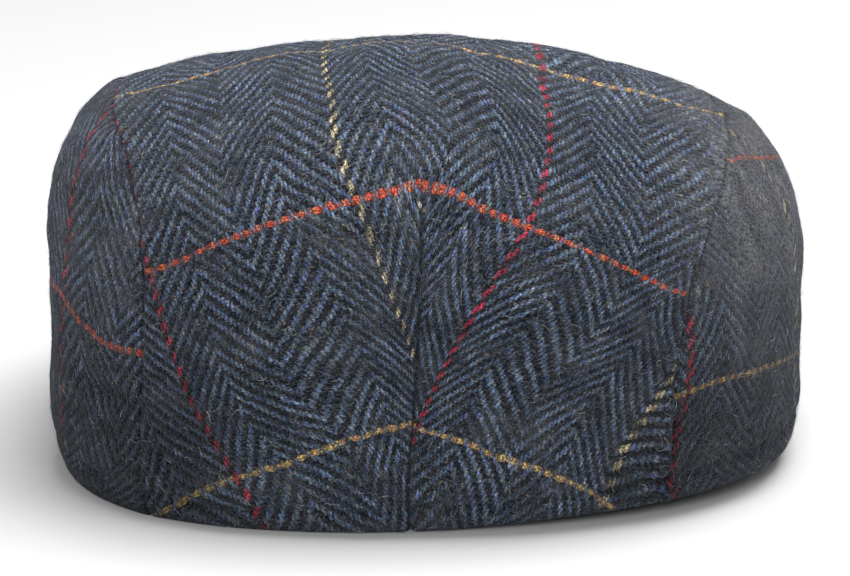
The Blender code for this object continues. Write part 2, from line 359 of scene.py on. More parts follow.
    def looked_up(self, name: str, angle: np.ndarray, share: np.ndarray) -> np.ndarray:
        """A table's value between its own angles and shares."""
        table = self.tables()[name]
        across = (angle + 180.0) / self.chart_angle_step
        down = np.clip(share, 0.0, 1.0) * self.chart_share_steps
        i = np.clip(across.astype(int), 0, table.shape[0] - 2)
        j = np.clip(down.astype(int), 0, table.shape[1] - 2)
        a, b = across - i, down - j
        near = table[i, j] * (1 - b) + table[i, j + 1] * b
        far = table[i + 1, j] * (1 - b) + table[i + 1, j + 1] * b
        return near * (1 - a) + far * a

    def run_length(self, angle: np.ndarray) -> np.ndarray:
        """Length down the crown from the crest to the hem."""
        lengths = self.tables()["length"]
        return np.interp((angle + 180.0) / self.chart_angle_step, np.arange(len(lengths)), lengths)

    def point(self, chart: np.ndarray) -> np.ndarray:
        """Points on the crown's outer face.

        Args:
            chart: Points on the round chart, any number of them, the two numbers last.

        Returns:
            The points in metres, in the same order.
        """
        share, angle = chart_share(chart), chart_angle(chart)
        reach = self.looked_up("reach", angle, share)
        height = self.looked_up("height", angle, share)
        turn = np.radians(angle)
        x = reach * np.sin(turn)
        y = self.crest_y + reach * np.cos(turn)
        z = height + self.shoulder_lean * x / self.half_width * (height / self.height) ** 2
        point = np.stack([x, y, z], axis=-1)
        depth = np.zeros_like(share)
        for dent in DENTS + SOFT_DENTS:
            around = bell(signed_angle(angle - dent.angle), dent.angle_spread)
            depth += self.height * dent.depth * around * bell(share - dent.share, dent.share_spread)
        inwards = unit(np.stack([0 * x, 0 * y + self.crest_y, z / 2], axis=-1) - point)
        return point + inwards * (depth * (1.0 - share**self.edge_hold_power))[..., None]

    def pressed(self, points: np.ndarray) -> np.ndarray:
        """Press what would reach below the surface flat onto it, and ease the cloth above it."""
        height = points[..., 2]
        near = np.clip(height, -self.hem_trim, self.hem_trim)
        eased = (near + self.hem_trim) ** 2 / (4 * self.hem_trim)
        settled = points.copy()
        settled[..., 2] = np.where(height < self.hem_trim, eased, height)
        return settled


class Way(Enum):
    """Which yarns a check line is made of."""

    WARP = 0
    WEFT = 1


@dataclass(frozen=True)
class CheckLine:
    """The run of a check line, or of a herringbone column's edge, over a panel.

    way says which yarns it is made of, position counts columns or checks from the cloth's
    own zero, and rows are (angle, share) places that the line passes through.
    """

    way: Way
    position: float
    rows: Rows


@dataclass(frozen=True)
class Weave:
    """Sizes of the herringbone and of the check, in millimetres and yarns."""

    column_mm: float = 14.4
    ends_per_column: int = 16
    check_mm: float = 73.0
    picks_per_check: int = 54
    columns_per_check: int = 4
    first_end: int = 2
    yarns_per_twill: int = 4

    @property
    def end_mm(self) -> float:
        """Width of one lengthwise yarn."""
        return self.column_mm / self.ends_per_column

    @property
    def pick_mm(self) -> float:
        """Width of one crosswise yarn."""
        return self.check_mm / self.picks_per_check

    def place_mm(self, line: CheckLine) -> float:
        """Where a line of the weave lies on the cloth's own map."""
        if line.way is Way.WARP:
            return line.position * self.column_mm
        return line.position * self.check_mm + self.pick_mm / 2


WEAVE = Weave()

TOP_LINES = (
    CheckLine(Way.WARP, 6, (
        (82.5, 0.448), (73, 0.460), (66.5, 0.476), (62.5, 0.496), (59, 0.520), (55, 0.572),
        (52, 0.624), (50, 0.680), (47.5, 0.736), (44.5, 0.792), (40.5, 0.844), (37, 0.900),
        (35.5, 0.976),
    )),
    CheckLine(Way.WARP, 2, (
        (83, 0.140), (50, 0.184), (37, 0.236), (29.5, 0.284), (21.5, 0.368), (15.5, 0.436),
        (11, 0.500), (7, 0.564), (4, 0.628),
    )),
    CheckLine(Way.WARP, -2, (
        (-104.5, 0.176), (-64.5, 0.196), (-49.5, 0.248), (-42, 0.296), (-32.5, 0.380),
        (-25.5, 0.448), (-20, 0.504), (-15, 0.556), (-10, 0.608), (-5, 0.668), (-1.5, 0.732),
        (2, 0.792),
    )),
    CheckLine(Way.WARP, -6, (
        (-50.5, 0.736), (-49, 0.760), (-46.5, 0.784), (-44.5, 0.808), (-42, 0.832), (-39.5, 0.856),
        (-38, 0.888), (-38, 0.928),
    )),
    CheckLine(Way.WEFT, 0, (
        (82.5, 0.384), (81, 0.324), (83.5, 0.260), (90.5, 0.200), (103.5, 0.144), (128.5, 0.100),
        (-130, 0.060), (-105, 0.080), (-90.5, 0.108), (-84, 0.140), (-76, 0.176), (-76.5, 0.240),
        (-78, 0.304), (-81, 0.364),
    )),
    CheckLine(Way.WEFT, 1, (
        (52.5, 0.608), (45.5, 0.568), (39, 0.524), (32, 0.488), (24.5, 0.452), (16, 0.424),
        (6, 0.404), (1, 0.392), (-4.5, 0.396), (-9, 0.416), (-13, 0.440), (-21, 0.476),
        (-28.5, 0.512), (-35.5, 0.556), (-42, 0.600), (-49, 0.648),
    )),
    CheckLine(Way.WEFT, 2, (
        (52, 0.972), (43, 0.916), (35, 0.880), (26.5, 0.852), (18.5, 0.820), (9.5, 0.796),
        (5.5, 0.788), (1, 0.796), (-3.5, 0.808), (-8, 0.824), (-16.5, 0.860), (-25, 0.892),
        (-33.5, 0.944),
    )),
)

TOP_EDGES = (
    CheckLine(Way.WARP, 7.12, ((54, 0.788), (52, 0.856))),
    CheckLine(Way.WARP, 5.12, ((69, 0.392), (48.5, 0.524), (40, 0.676), (32, 0.820), (24, 0.960))),
    CheckLine(Way.WARP, 4.12, ((59, 0.344), (39, 0.496), (29, 0.660), (19, 0.812), (10, 0.964))),
    CheckLine(Way.WARP, 3.12, ((48, 0.300), (28, 0.472), (17, 0.648), (7, 0.776))),
    CheckLine(Way.WARP, 2.12, ((36, 0.268), (15.5, 0.456), (5.5, 0.612))),
    CheckLine(Way.WARP, 1.12, ((15, 0.236), (6.5, 0.384), (1.6, 0.410), (1.8, 0.460), (1.9, 0.520))),
    CheckLine(Way.WARP, 0.12, ((-7, 0.232), (-2, 0.384))),
    CheckLine(Way.WARP, -0.88, ((-27, 0.248), (-9, 0.456), (-3, 0.516))),
    CheckLine(Way.WARP, -2.88, ((-63, 0.292), (-34.5, 0.492), (-19, 0.660), (-7, 0.816), (-3, 0.924))),
    CheckLine(Way.WARP, -3.88, ((-64, 0.360), (-44.5, 0.516), (-30.5, 0.676), (-19, 0.828))),
    CheckLine(Way.WARP, -4.88, ((-65.5, 0.476), (-48.5, 0.624), (-32.5, 0.780), (-26.5, 0.928))),
    CheckLine(Way.WARP, -5.88, ((-37, 0.856), (-35, 0.964))),
)

LEFT_LINES = (
    CheckLine(Way.WARP, 6, (
        (80.5, 0.464), (77.5, 0.492), (73, 0.544), (71.5, 0.572), (72.5, 0.636), (74.5, 0.708),
        (75.5, 0.776), (75, 0.840), (76, 0.908), (79.5, 0.956),
    )),
    CheckLine(Way.WEFT, 1, ((81.5, 0.724), (73.5, 0.724), (64, 0.740), (55.5, 0.736))),
)

RIGHT_LINES = (
    CheckLine(Way.WARP, -2, (
        (-51.5, 0.760), (-50.5, 0.788), (-49.5, 0.820), (-48.5, 0.870), (-49.5, 0.960),
    )),
    CheckLine(Way.WARP, -6, (
        (-78, 0.530), (-77, 0.600), (-77, 0.657), (-78.5, 0.740), (-79, 0.820),
    )),
    CheckLine(Way.WEFT, 1, ((-68.5, 0.496), (-75, 0.508), (-83.5, 0.536), (-92, 0.566))),
    CheckLine(Way.WEFT, 2, ((-51, 0.808), (-59.5, 0.812), (-69.5, 0.824), (-79, 0.844))),
)
RIGHT_EDGES = (CheckLine(Way.WEFT, 2, ((-95, 0.862), (-110, 0.868), (-125, 0.862))),)

TOP_FOLDS = (
    Fold(1.5, 0.948, 0.0012, 3.0, 0.011, 0.7),
    Fold(-4.0, 0.955, 0.0007, 4.0, 0.007, 0.5),
    Fold(54.0, 0.875, -0.0005, 0.9, 0.030, 0.0),
    Fold(52.4, 0.895, -0.0005, 0.8, 0.026, 0.0),
)
LEFT_FOLDS = (Fold(61, 0.815, 0.0016, 6, 0.014, 0.75), Fold(70, 0.860, 0.0008, 7, 0.016, 0.3))


class FlatLay:
    """Lays a curved sheet out flat with as little stretch as it can, as its cloth was cut."""

    weakest_grip = 0.02
    firmest_grip = 20.0

    def __init__(self, points: np.ndarray, triangles: np.ndarray, start: np.ndarray) -> None:
        """Prepare the sheet.

        Args:
            points: Points of the curved sheet.
            triangles: Its triangles, as rows of three point numbers.
            start: A first rough flat place for each point.
        """
        self.flat = start.copy()
        self.ends = np.stack([np.roll(triangles, -1, axis=1), np.roll(triangles, -2, axis=1)], -1)
        corners = points[triangles]
        along = corners[:, 1] - corners[:, 0]
        width = np.linalg.norm(along, axis=1)
        along = along / width[:, None]
        slant = corners[:, 2] - corners[:, 0]
        foot = np.sum(slant * along, axis=1)
        rise = np.linalg.norm(slant - foot[:, None] * along, axis=1)
        local = np.zeros((len(triangles), 3, 2))
        local[:, 1, 0] = width
        local[:, 2, 0] = foot
        local[:, 2, 1] = rise
        self.sides = np.roll(local, -1, axis=1) - np.roll(local, -2, axis=1)
        self.grips = self._grips(local)
        self.solver = self._solver(len(points))

    def _grips(self, local: np.ndarray) -> np.ndarray:
        """How firmly each side of each triangle holds: the cotangent of the angle opposite."""
        to_next = np.roll(local, -1, axis=1) - local
        to_last = np.roll(local, -2, axis=1) - local
        dot = np.sum(to_next * to_last, axis=2)
        cross = to_next[..., 0] * to_last[..., 1] - to_next[..., 1] * to_last[..., 0]
        return np.clip(dot / cross, self.weakest_grip, self.firmest_grip)

    def _solver(self, count: int) -> np.ndarray:
        """Inverse of the equations that join every point to its neighbours."""
        joined = np.zeros((count, count))
        first, second = self.ends[..., 0].ravel(), self.ends[..., 1].ravel()
        grips = self.grips.ravel()
        for end in (first, second):
            np.add.at(joined, (end, end), grips)
        np.add.at(joined, (first, second), -grips)
        np.add.at(joined, (second, first), -grips)
        joined[0, 0] += 1.0
        return np.linalg.inv(joined)

    def relax(self, rounds: int) -> np.ndarray:
        """Turn each triangle and move the points by turns, and return the flat places."""
        held = self.flat[0].copy()
        for _ in range(rounds):
            flat_sides = self.flat[self.ends[..., 0]] - self.flat[self.ends[..., 1]]
            fit = np.einsum("tk,tki,tkj->tij", self.grips, flat_sides, self.sides)
            turn = np.arctan2(fit[:, 1, 0] - fit[:, 0, 1], fit[:, 0, 0] + fit[:, 1, 1])
            cos, sin = np.cos(turn)[:, None], np.sin(turn)[:, None]
            x, y = self.sides[..., 0], self.sides[..., 1]
            turned = np.stack([cos * x - sin * y, sin * x + cos * y], axis=-1)
            pulls = np.zeros_like(self.flat)
            for end, grips in enumerate((self.grips, -self.grips)):
                np.add.at(pulls, self.ends[..., end], grips[..., None] * turned)
            pulls[0] += held
            self.flat = self.solver @ pulls
        return self.flat


class LineFit:
    """Eases the flat cloth so that its check lines run through their places."""

    def __init__(
        self, places: np.ndarray, shifts: np.ndarray, softness: np.ndarray, reach: np.ndarray
    ) -> None:
        """Fit a smooth shift, which away from all places fades to their mean.

        Args:
            places: Flat places in millimetres, one row each.
            shifts: The shift that each place needs.
            softness: How much the fit may miss each place, for smoothness.
            reach: How far a place's pull reaches across and along the cloth, in millimetres.
        """
        self.places = places
        self.reach = reach
        count = len(places)
        equations = np.zeros((count + 1, count + 1))
        equations[:count, :count] = self._pull(places) + np.diag(softness)
        equations[:count, count] = 1.0
        equations[count, :count] = 1.0
        answer = np.linalg.solve(equations, np.append(shifts, 0.0))
        self.weights, self.mean = answer[:count], answer[count]

    def _pull(self, points: np.ndarray) -> np.ndarray:
        """How strongly each fitted place pulls on each point."""
        gaps = (points[:, None, :] - self.places[None, :, :]) / self.reach
        return bell(np.linalg.norm(gaps, axis=2), 1.0)

    def at(self, points: np.ndarray) -> np.ndarray:
        """The shift at any flat points, given as rows of two numbers."""
        return self._pull(points) @ self.weights + self.mean


def make_active(piece: bpy.types.Object | None) -> None:
    """Select one piece alone and make it the active one, or leave nothing selected."""
    for thing in bpy.context.selected_objects:
        thing.select_set(False)
    if piece:
        piece.select_set(True)
    bpy.context.view_layer.objects.active = piece


def apply_modifiers(piece: bpy.types.Object) -> None:
    """Apply the piece's modifiers in their order."""
    make_active(piece)
    for modifier in list(piece.modifiers):
        bpy.ops.object.modifier_apply(modifier=modifier.name)


def paint_points(mesh: bpy.types.Mesh, name: str, values: np.ndarray) -> None:
    """Give each point of a mesh a number that its finish reads."""
    layer = mesh.attributes.new(name=name, type="FLOAT", domain="POINT")
    layer.data.foreach_set("value", values.astype(np.float32))


def dress(
    piece: bpy.types.Object, material: bpy.types.Material, node: str | None = None
) -> None:
    """Give a piece its finish and its place on the cap.

    Args:
        piece: The piece.
        material: Its finish.
        node: The solid that it takes the place of, if any.
    """
    piece.data.materials.clear()
    piece.data.materials.append(material)
    if node:
        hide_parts(node)
    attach(piece, BODY)
    triangles = sum(len(face.vertices) - 2 for face in piece.data.polygons)
    log.info("%s: %d triangles", piece.name, triangles)


class ClothGrid:
    """A sheet modelled from a flat grid whose points are then set on a form."""

    def __init__(self, name: str, points: np.ndarray) -> None:
        """Add the grid and set its points.

        Args:
            name: Name of the piece.
            points: Points by column and row, in metres.
        """
        self.columns, self.rows = points.shape[0], points.shape[1]
        make_active(None)
        bpy.ops.mesh.primitive_grid_add(
            x_subdivisions=self.columns - 1, y_subdivisions=self.rows - 1, size=2.0
        )
        self.piece = bpy.context.object
        self.piece.name = name
        self.piece.data.name = name
        self.mesh = self.piece.data
        flat = np.zeros(len(self.mesh.vertices) * 3)
        self.mesh.vertices.foreach_get("co", flat)
        flat = flat.reshape(-1, 3)
        self.column = np.round((flat[:, 0] + 1.0) / 2.0 * (self.columns - 1)).astype(int)
        self.row = np.round((flat[:, 1] + 1.0) / 2.0 * (self.rows - 1)).astype(int)
        self.mesh.vertices.foreach_set("co", points[self.column, self.row].ravel())
        self.mesh.update()

    def map_cloth(self, halves: Halves) -> None:
        """Give the sheet the cloth's own map.

        Args:
            halves: For each stretch of columns, its first column and its map in millimetres.
        """
        while self.mesh.uv_layers:
            self.mesh.uv_layers.remove(self.mesh.uv_layers[0])
        layer = self.mesh.uv_layers.new(name=CLOTH_MAP)
        corner_vertex = np.zeros(len(self.mesh.loops), dtype=int)
        self.mesh.loops.foreach_get("vertex_index", corner_vertex)
        totals = np.zeros(len(self.mesh.polygons), dtype=int)
        self.mesh.polygons.foreach_get("loop_total", totals)
        corner_face = np.repeat(np.arange(len(totals)), totals)
        middle = np.bincount(corner_face, self.column[corner_vertex]) / totals
        corner_middle = middle[corner_face]
        values = np.zeros((len(corner_vertex), 2))
        for first, cloth in halves:
            inside = (corner_middle >= first) & (corner_middle <= first + len(cloth) - 1)
            chosen = corner_vertex[inside]
            values[inside] = cloth[self.column[chosen] - first, self.row[chosen]]
        layer.data.foreach_set("uv", values.ravel())

    def paint(self, name: str, values: np.ndarray) -> None:
        """Give each point of the sheet a number that its finish reads."""
        paint_points(self.mesh, name, values[self.column, self.row])


# A panel's sides that are sewn, as the grid's edge and the points next to it
BORDERS = {
    "high": (np.s_[:, -1:], np.s_[:, -2:-1]),
    "left": (np.s_[:1], np.s_[1:2]),
    "right": (np.s_[-1:], np.s_[-2:-1]),
}


@dataclass(frozen=True)
class Patch:
    """A panel's grid on the bare crown, by column and row.

    across and along are the positions of its columns and rows, from 0 to 1.
    """

    across: np.ndarray
    along: np.ndarray
    chart: np.ndarray
    points: np.ndarray

    @property
    def angle(self) -> np.ndarray:
        """Angle of each grid point from the centre back, in degrees."""
        return chart_angle(self.chart)

    @property
    def share(self) -> np.ndarray:
        """Share of each grid point from the crest to the hem."""
        return chart_share(self.chart)


@dataclass
class TweedPanel:
    """A crown panel of tweed between its seams and the hem, with soft rolled edges."""

    name: str
    node: str
    slot: str
    form: CrownForm
    lines: tuple[CheckLine, ...]
    cells_across: int
    cells_along: int
    lay_cells_across: int
    lay_cells_along: int
    seam_edges: tuple[str, ...]
    across_waves: int
    along_pull: float
    edges: tuple[CheckLine, ...] = ()
    folds: tuple[Fold, ...] = ()
    across_pull: float = 0.55
    thickness: float = 0.0020
    seam_overlap: float = 0.0005
    roll_radius: float = 0.0019
    roll_depth: float = 0.0008
    rim_round: float = 0.0006
    rim_segments: int = 2
    rim_angle: float = 60.0
    lump_height: float = 0.00022
    lump_lengths: tuple[float, ...] = (0.034, 0.021, 0.013, 0.0085)
    lump_turn: float = 0.7
    lump_turn_step: float = 1.3
    pucker_height: float = 0.00022
    pucker_reach: float = 0.006
    pucker_way: tuple[float, float, float] = (310.0, 470.0, 390.0)
    hem_width: float = 0.0088
    hem_groove_depth: float = 0.0009
    hem_groove_reach: float = 0.0016
    hem_pull_way: tuple[float, float, float] = (830.0, 610.0, 0.0)
    # Painted shade in the seams and the hem's groove: how far it reaches and how dark it is
    crease_shade_reach: float = 0.0008
    seam_crease_shade: float = 0.62
    hem_crease_shade: float = 0.42
    lay_rounds: int = 160
    line_softness: float = 0.001
    edge_softness: float = 0.004
    line_reach: float = 34.0
    cross_reach: float = 48.0
    smooth_hem_power: float = 12
    cut: tuple[float, float, float] = (0.0, 0.0, 0.0)

    def sides(self) -> tuple[Curve, Curve, Curve, Curve]:
        """The panel's four sides on the chart: low, high, left and right of the grid."""
        raise NotImplementedError

    def start_lay(self, chart: np.ndarray) -> np.ndarray:
        """A first rough flat place for each chart point, in metres."""
        raise NotImplementedError

    def dart_column(self, patch: Patch) -> int | None:
        """The column that the dart runs down, if the panel has one."""
        return None

    def dart_tip(self) -> float:
        """Where along the panel the dart's tip is."""
        raise NotImplementedError

    def patch(self, across: np.ndarray, along: np.ndarray) -> Patch:
        """The patch of the crown that is stretched between the panel's four sides.

        Args:
            across: Positions across the panel, from 0 to 1.
            along: Positions along the panel, from 0 to 1.

        Returns:
            The patch with these positions.
        """
        low, high, left, right = self.sides()
        a, b = across[:, None, None], along[None, :, None]
        ruled = low(across)[:, None] * (1 - b) + high(across)[:, None] * b
        ruled = ruled + left(along)[None] * (1 - a) + right(along)[None] * a
        ends = np.array([0.0, 1.0])
        start = low(ends)[0] * (1 - a) + low(ends)[1] * a
        end = high(ends)[0] * (1 - a) + high(ends)[1] * a
        chart = ruled - start * (1 - b) - end * b
        return Patch(across, along, chart, self.form.point(chart))

    def fine_patch(self) -> Patch:
        """The patch that is modelled, with its cells closer together at the seams and the dart."""
        across = crowded(self.cells_across, self.across_waves, self.across_pull)
        return self.patch(across, crowded(self.cells_along, 1, self.along_pull))

    def edge_distance(self, points: np.ndarray) -> np.ndarray:
        """Distance of each grid point from the nearest seam edge."""
        rims = [points[BORDERS[edge][0]] for edge in self.seam_edges]
        return np.min([np.linalg.norm(points - rim, axis=-1) for rim in rims], axis=0)

    @staticmethod
    def rolled(distance: np.ndarray, radius: float, depth: float) -> np.ndarray:
        """Drop of the cloth as it rolls down into a seam."""
        inside = np.clip(1.0 - distance / radius, 0.0, 1.0)
        return depth * (1.0 - np.sqrt(1.0 - inside**2))

    def seam_drop(self, points: np.ndarray) -> np.ndarray:
        """Drop towards the seams, with the small puckers that the stitches pull."""
        distance = self.edge_distance(points)
        drop = self.rolled(distance, self.roll_radius, self.roll_depth)
        run = points @ np.array(self.pucker_way)
        ripple = np.sin(run) + 0.6 * np.sin(1.83 * run + 1.2)
        return drop + self.pucker_height * ripple * bell(distance, self.pucker_reach)

    def lumps(self, points: np.ndarray) -> np.ndarray:
        """Soft unevenness of the cloth: waves of four lengths, each in three ways."""
        total = np.zeros(points.shape[:2])
        turn = self.lump_turn
        for octave, wavelength in enumerate(self.lump_lengths):
            for angle in turn + np.arange(3) * 2.1:
                way = np.array([math.cos(angle), math.sin(angle), math.cos(3 * angle)])
                total += np.sin(points @ way * 2 * math.pi / wavelength + angle * 5) / (octave + 1)
            turn += self.lump_turn_step
        return total * self.lump_height

    def shape(self, patch: Patch) -> np.ndarray:
        """Points of the panel's outer face, with its rolled edges and small relief."""
        points = patch.points
        outward = unit(np.cross(np.gradient(points, axis=0), np.gradient(points, axis=1)))
        smooth_hem = 1.0 - patch.share**self.smooth_hem_power
        drop = self.seam_drop(points) + self.lumps(points) * smooth_hem
        drop += self.own_drop(patch)
        drop += self.hem_drop(patch)
        for fold in self.folds:
            drop += fold.depth * self.in_fold(fold, patch)
        return self.form.pressed(self.let_out(points) - outward * drop[..., None])

    def from_groove(self, patch: Patch) -> np.ndarray:
        """Distance of each grid point up the cloth from the hem's groove."""
        return (1.0 - patch.share) * self.form.run_length(patch.angle) - self.hem_width

    def hem_drop(self, patch: Patch) -> np.ndarray:
        """The shallow groove that the hem's stitches pull above its turned-up edge."""
        run = patch.points @ np.array(self.hem_pull_way)
        pull = 1.0 + 0.35 * np.sin(run) + 0.20 * np.sin(2.3 * run + 0.8)
        return self.hem_groove_depth * pull * bell(self.from_groove(patch), self.hem_groove_reach)

    def painted_crease_shade(self, patch: Patch) -> np.ndarray:
        """Painted shade at each grid point: how deep it lies in a seam, fold, dart or the hem's
        groove, where little light gets in.
        """
        seams = self.seam_crease_shade * bell(self.edge_distance(patch.points), self.crease_shade_reach)
        hem = self.hem_crease_shade * bell(self.from_groove(patch), self.hem_groove_reach)
        folds = [fold.shade * self.in_fold(fold, patch) for fold in self.folds]
        return np.max([seams, hem, self.own_crease_shade(patch), *folds], axis=0)

    def own_crease_shade(self, patch: Patch) -> np.ndarray:
        """Painted shade at each grid point in a dart that only this panel has."""
        return np.zeros(patch.share.shape)

    def in_fold(self, fold: Fold, patch: Patch) -> np.ndarray:
        """How far each grid point lies in a fold, from 0 to 1."""
        around = signed_angle(patch.angle - fold.angle) / fold.angle_spread
        wave = 0.35 * np.sin(3.0 * around)
        down = (patch.share - fold.share) / fold.share_spread
        return bell(around, 1.0) * bell(down - wave, 1.0)

    def own_drop(self, patch: Patch) -> np.ndarray:
        """Drop of the cloth into such a dart."""
        return np.zeros(patch.share.shape)

    def let_out(self, points: np.ndarray) -> np.ndarray:
        """The points with the seam edges let out by half the overlap that closes the seam."""
        wider = points.copy()
        for rim, inner in (BORDERS[edge] for edge in self.seam_edges):
            wider[rim] -= unit(points[inner] - points[rim]) * self.seam_overlap / 2
        return wider

    def flat_halves(self, patch: Patch) -> Halves:
        """Where each grid point lies on the flat cloth.

        Args:
            patch: The panel's grid.

        Returns:
            For each half beside the dart, or the whole panel, its first column and the flat
            places of its points in millimetres.
        """
        coarse_across = np.linspace(0.0, 1.0, self.lay_cells_across + 1)
        coarse_along = np.linspace(0.0, 1.0, self.lay_cells_along + 1)
        coarse = self.patch(coarse_across, coarse_along)
        points, start = coarse.points / MM, self.start_lay(coarse.chart) / MM
        rows = self.lay_cells_along + 1
        numbers = np.arange(points.shape[0] * rows).reshape(-1, rows)
        places, firsts = points.reshape(-1, 3), start.reshape(-1, 2)
        across, dart = patch.across, self.dart_column(patch)
        pieces = [numbers]
        if dart is not None:
            middle = self.lay_cells_across // 2
            beyond = coarse_along > self.dart_tip()
            left = numbers[middle:].copy()
            left[0, beyond] = len(places) + np.arange(beyond.sum())
            places = np.vstack([places, points[middle, beyond]])
            firsts = np.vstack([firsts, start[middle, beyond]])
            pieces = [numbers[: middle + 1], left]
        triangles = np.vstack([self.triangles(piece) for piece in pieces])
        flat = FlatLay(places, triangles, firsts).relax(self.lay_rounds)
        cuts = [(0, across)] if dart is None else [(0, across[: dart + 1]), (dart, across[dart:])]
        halves = []
        for piece, (first, positions) in zip(pieces, cuts):
            span = (positions - positions[0]) / (positions[-1] - positions[0]) * (len(piece) - 1)
            columns = curve_through(flat[piece], span)
            both = curve_through(columns.swapaxes(0, 1), patch.along * (rows - 1))
            halves.append((first, both.swapaxes(0, 1)))
        self.cut = self.cut_size([flat for _, flat in halves])
        return self.eased(halves, patch.chart)

    @staticmethod
    def triangles(numbers: np.ndarray) -> np.ndarray:
        """Two triangles for each cell of a grid of point numbers."""
        a, b = numbers[:-1, :-1].ravel(), numbers[1:, :-1].ravel()
        c, d = numbers[1:, 1:].ravel(), numbers[:-1, 1:].ravel()
        return np.vstack([np.column_stack([a, b, c]), np.column_stack([a, c, d])])

    @staticmethod
    def flat_place(chart: np.ndarray, halves: Halves, angle: float, share: float) -> np.ndarray:
        """Where a place on the crown lies on the flat cloth.

        Args:
            chart: Chart points of the grid.
            halves: First column and flat places of each half of the grid.
            angle: Angle of the place from the centre back.
            share: Share of the place from the crest to the hem.

        Returns:
            Its flat place in millimetres.
        """
        gap = chart_place(angle, share) - chart
        i, j = np.unravel_index(np.argmin(np.sum(gap**2, axis=-1)), gap.shape[:2])
        first, flat = max((half for half in halves if half[0] <= i), key=lambda half: half[0])
        ways = np.column_stack([np.gradient(chart, axis=0)[i, j], np.gradient(chart, axis=1)[i, j]])
        across, along = np.clip(np.linalg.solve(ways, gap[i, j]), -1.0, 1.0)
        column = i - first
        slopes = np.gradient(flat, axis=0)[column, j], np.gradient(flat, axis=1)[column, j]
        return flat[column, j] + across * slopes[0] + along * slopes[1]

    def eased(self, halves: Halves, chart: np.ndarray) -> Halves:
        """The flat halves, shifted smoothly so that the check lines run where they show."""
        shifts = [np.zeros_like(flat) for _, flat in halves]
        for way, reach in (
            (Way.WARP, (self.cross_reach, self.line_reach)),
            (Way.WEFT, (self.line_reach, self.cross_reach)),
        ):
            lines = [line for line in self.lines + self.edges if line.way is way]
            stops = [(line, row) for line in lines for row in line.rows]
            places = np.array([self.flat_place(chart, halves, *row) for _, row in stops])
            wanted = np.array([WEAVE.place_mm(line) for line, _ in stops]) - places[:, way.value]
            softness = [
                self.edge_softness if line in self.edges else self.line_softness for line, _ in stops
            ]
            log.info(
                "%s: %s lines, shift %.1f to %.1f mm", self.name, way.name, min(wanted), max(wanted)
            )
            fit = LineFit(places, wanted, np.array(softness), np.array(reach))
            for shift, (_, flat) in zip(shifts, halves):
                shift[..., way.value] = fit.at(flat.reshape(-1, 2)).reshape(flat.shape[:2])
        return [(first, flat + shift) for shift, (first, flat) in zip(shifts, halves)]

    def build(self) -> bpy.types.Object:
        """Model the panel, give it its map and wall, and return it."""
        patch = self.fine_patch()
        grid = ClothGrid(self.name, self.shape(patch))
        grid.map_cloth(self.flat_halves(patch))
        # Painted shade of the seams, folds, dart and hem groove, held on the points
        grid.paint(CREASE_SHADE, self.painted_crease_shade(patch))
        piece = grid.piece
        wall = piece.modifiers.new("Wall", "SOLIDIFY")
        wall.thickness = self.thickness
        wall.offset = -1.0
        wall.use_even_offset = False
        wall.use_quality_normals = True
        rim = piece.modifiers.new("Rim", "BEVEL")
        rim.width = self.rim_round
        rim.segments = self.rim_segments
        rim.limit_method = "ANGLE"
        rim.angle_limit = math.radians(self.rim_angle)
        apply_modifiers(piece)
        piece.data.shade_smooth()
        return piece

    @staticmethod
    def cut_size(flats: Sequence[np.ndarray]) -> tuple[float, float, float]:
        """Width, length and area of the flat cloth that the panel is cut from, in metres."""
        area = 0.0
        for flat in flats:
            a, b = np.diff(flat, axis=0)[:, :-1] * MM, np.diff(flat, axis=1)[:-1] * MM
            area += float(np.abs(a[..., 0] * b[..., 1] - a[..., 1] * b[..., 0]).sum())
        width, length = np.ptp(np.vstack([flat.reshape(-1, 2) for flat in flats]) * MM, axis=0)
        return float(width), float(length), area

    def surface(self) -> tuple[np.ndarray, np.ndarray]:
        """The points of the panel's outer face, and their chart points."""
        patch = self.fine_patch()
        return self.shape(patch), patch.chart

    def dress(self, piece: bpy.types.Object, finish: "TweedFinish") -> None:
        """Give the panel its cloth and its place on the cap."""
        dress(piece, finish.material(), self.node)


def seam_curve(rows: Rows) -> Curve:
    """Side seam as a function of a position from 0 at the back hem to 1 at the front."""
    places = np.array([chart_place(*row) for row in rows])
    return lambda position: curve_through(places, position * (len(rows) - 1))


def hem_curve(start_angle: float, end_angle: float) -> Curve:
    """Stretch of the crown's lower edge as a function of a position from 0 to 1."""
    return lambda position: chart_place(
        start_angle + (end_angle - start_angle) * position, np.ones_like(position)
    )


def part_of(curve: Curve, start: float, end: float) -> Curve:
    """A stretch of a curve, as a curve of its own."""
    return lambda position: curve(start + (end - start) * position)


